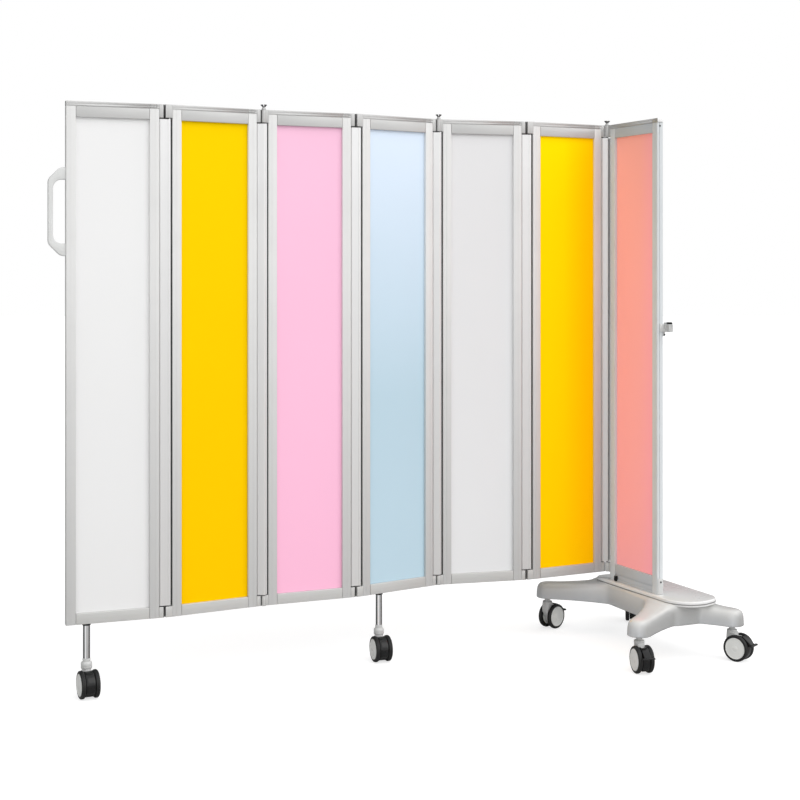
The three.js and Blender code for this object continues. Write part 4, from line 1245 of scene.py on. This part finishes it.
# %% Forks
fork_half = 11.6
web_corners = [(-13, 85), (-15, 60), (6, 24), (38, 24), (38, 48), (19, 56), (16, 85)]
web_rounds = [(15.5, 8, lambda at, size: at.x > 30 and at.z < 30),
              (8.0, 5, lambda at, size: at.z < 70 and (at.x < 10 or at.z > 40))]
web = pushed("fork", web_corners, "XZ", (-fork_half, fork_half), web_rounds)
bevel(3.0, 4, lambda at, size: size.y < 0.1 and at.z < 90)
close(web, 40)
head_profile = [
    (0, 81.9), (14.6, 81.9), (15.6, 82.8), (15.6, 85.0), (14.6, 85.5), (14.6, 86.3),
    (15.6, 86.8), (15.6, 89.6), (14.4, 91.2), (9.8, 91.6), (9.0, 92.6), (9.0, 125.5), (0, 125.5),
]
head = turned("head", head_profile, 40)
ears = block("ears", (15, 33), (-5.4, 5.4), (64.2, 75.8), 2.4)
fork = painted(joined("fork", [web, head, ears]), fitting_plastic)
on_casters(fork, wheeled[2:], "fork_arm", "caster", "caster_{}_fork")
print("forks", count("fork_arm"))

# %% [markdown]
# ## Brake pedals
# A glossy black fender hangs behind each trolley caster, between the wheels, and ends in a lip for
# the foot. The side view is drawn with both arcs, extruded to the gap between the wheels and
# rounded. The lip is a flat tongue, wider than the fender, pressed onto it.

# %% Pedals
fender_corners = [
    *arc(trail, 40, 38, -52, 12, 9), (69, 50.8), (69, 55.8), (56, 66), (41, 77), (25, 77),
    (22, 70), (25, 64), *arc(trail, 40, 23, 40, -52, 8),
]
fender_half = 11.2
fender = pushed("fender", fender_corners, "XZ", (-fender_half, fender_half))
bevel(1.6, 4, lambda at, size: size.y < 0.1)
close(fender, 40)
slot = block("slot", (16, 35.6), (-6.3, 6.3), (62.4, 90), 0.5, 1)
cut(fender, [slot])
lip = block("lip", (68, 76.5), (-20, 20), (50.5, 56.0), 2.4, 4)
spines = [block("spine", (26.5, 29.5), ends, (68.5, 71.5), 0.3, 2)
          for ends in ((-11, -5.7), (5.7, 11))]
pedal = painted(joined("pedal", [fender, lip, *spines]), black_plastic)
on_casters(pedal, wheeled[2:], "brake_fender", "pedal", "caster_{}_brake_pedal")
print("pedals", count("brake_fender"))

# %% [markdown]
# ## Hoods of the leg casters
# The leg casters have a black hood that wraps the space between the wheels. Two grooves run round
# it, and a step near the floor catches the light. The outline is extruded across, sliced along the
# grooves with bisect, and the thin strips are pushed in.

# %% Hoods
hood_corners = [*arc(trail, 38.5, 35.6, -72, 78, 24), (12, 72.6), (9, 71.6), (-8, 71.6), (-13, 66),
                (-13, 58), (6, 38.5), (14, 22.5)]
hood_half, line_in, line_out, lip_top = 12.8, 7.4, 8.6, 19
hood = pushed("hood", hood_corners, "XZ", (-hood_half, hood_half))
for y in (-line_out, -line_in, line_in, line_out):
    bpy.ops.mesh.select_all(action="SELECT")
    bpy.ops.mesh.bisect(plane_co=(0, y, 0), plane_no=(0, 1, 0))
pick("FACE", lambda at, size: line_in < abs(at.y) < line_out and size.y < 2
     and at.x > trail + 8 and at.z > lip_top)
bpy.ops.transform.shrink_fatten(value=-1.5)
pick("FACE", lambda at, size: size.y > 0.5 and size.z > 0.5 and at.x > trail + 8 and at.z < lip_top)
bpy.ops.transform.shrink_fatten(value=1.3)
bevel(1.4, 3, lambda at, size: size.y < 0.1 and abs(at.y) > hood_half - 0.1)
close(hood, 40)
hood_stem = turned("stem", [(0, 66), (8, 66), (8, 99.1), (7.4, 99.5), (0, 99.5)], 28)
bearing = turned("bearing", [(0, 70), (12.4, 70), (12.4, 73.4), (11.8, 74.0), (0, 74.0)], 40)
painted(hood, black_plastic)
painted(hood_stem, rod_metal)
painted(bearing, cap_plastic)
joined("hood", [hood, hood_stem, bearing])
on_casters(hood, wheeled[:2], "wheel_hood", "caster", "{}_caster_hood")
print("hoods", count("wheel_hood"))

# %% [markdown]
# ## Floor
# The floor is a wide pale sheet. It shows itself white to the camera and keeps only the faint
# shadows, while the object is lit by its softer, greyer bounce.

# %% Floor
floor_size = 60
floor = close(start("plane", "studio_floor", size=floor_size))
floor_paint, tree, _ = new_material("studio_floor")
tree.nodes.clear()
floor_grey, floor_glow = 0.5, 0.68
matt = add_node(tree, "BsdfDiffuse", {"Color": (floor_grey, floor_grey, floor_grey, 1.0)})
to_camera = add_node(tree, "LightPath").outputs["Is Camera Ray"]
seen = add_node(tree, "Math", {0: to_camera, 1: floor_glow}, operation="MULTIPLY")
glow = add_node(tree, "Emission", {"Strength": seen.outputs[0]})
both = add_node(tree, "AddShader", {0: matt.outputs[0], 1: glow.outputs[0]})
tree.links.new(both.outputs[0], add_node(tree, "OutputMaterial").inputs["Surface"])
painted(floor, floor_paint)
print("floor laid")
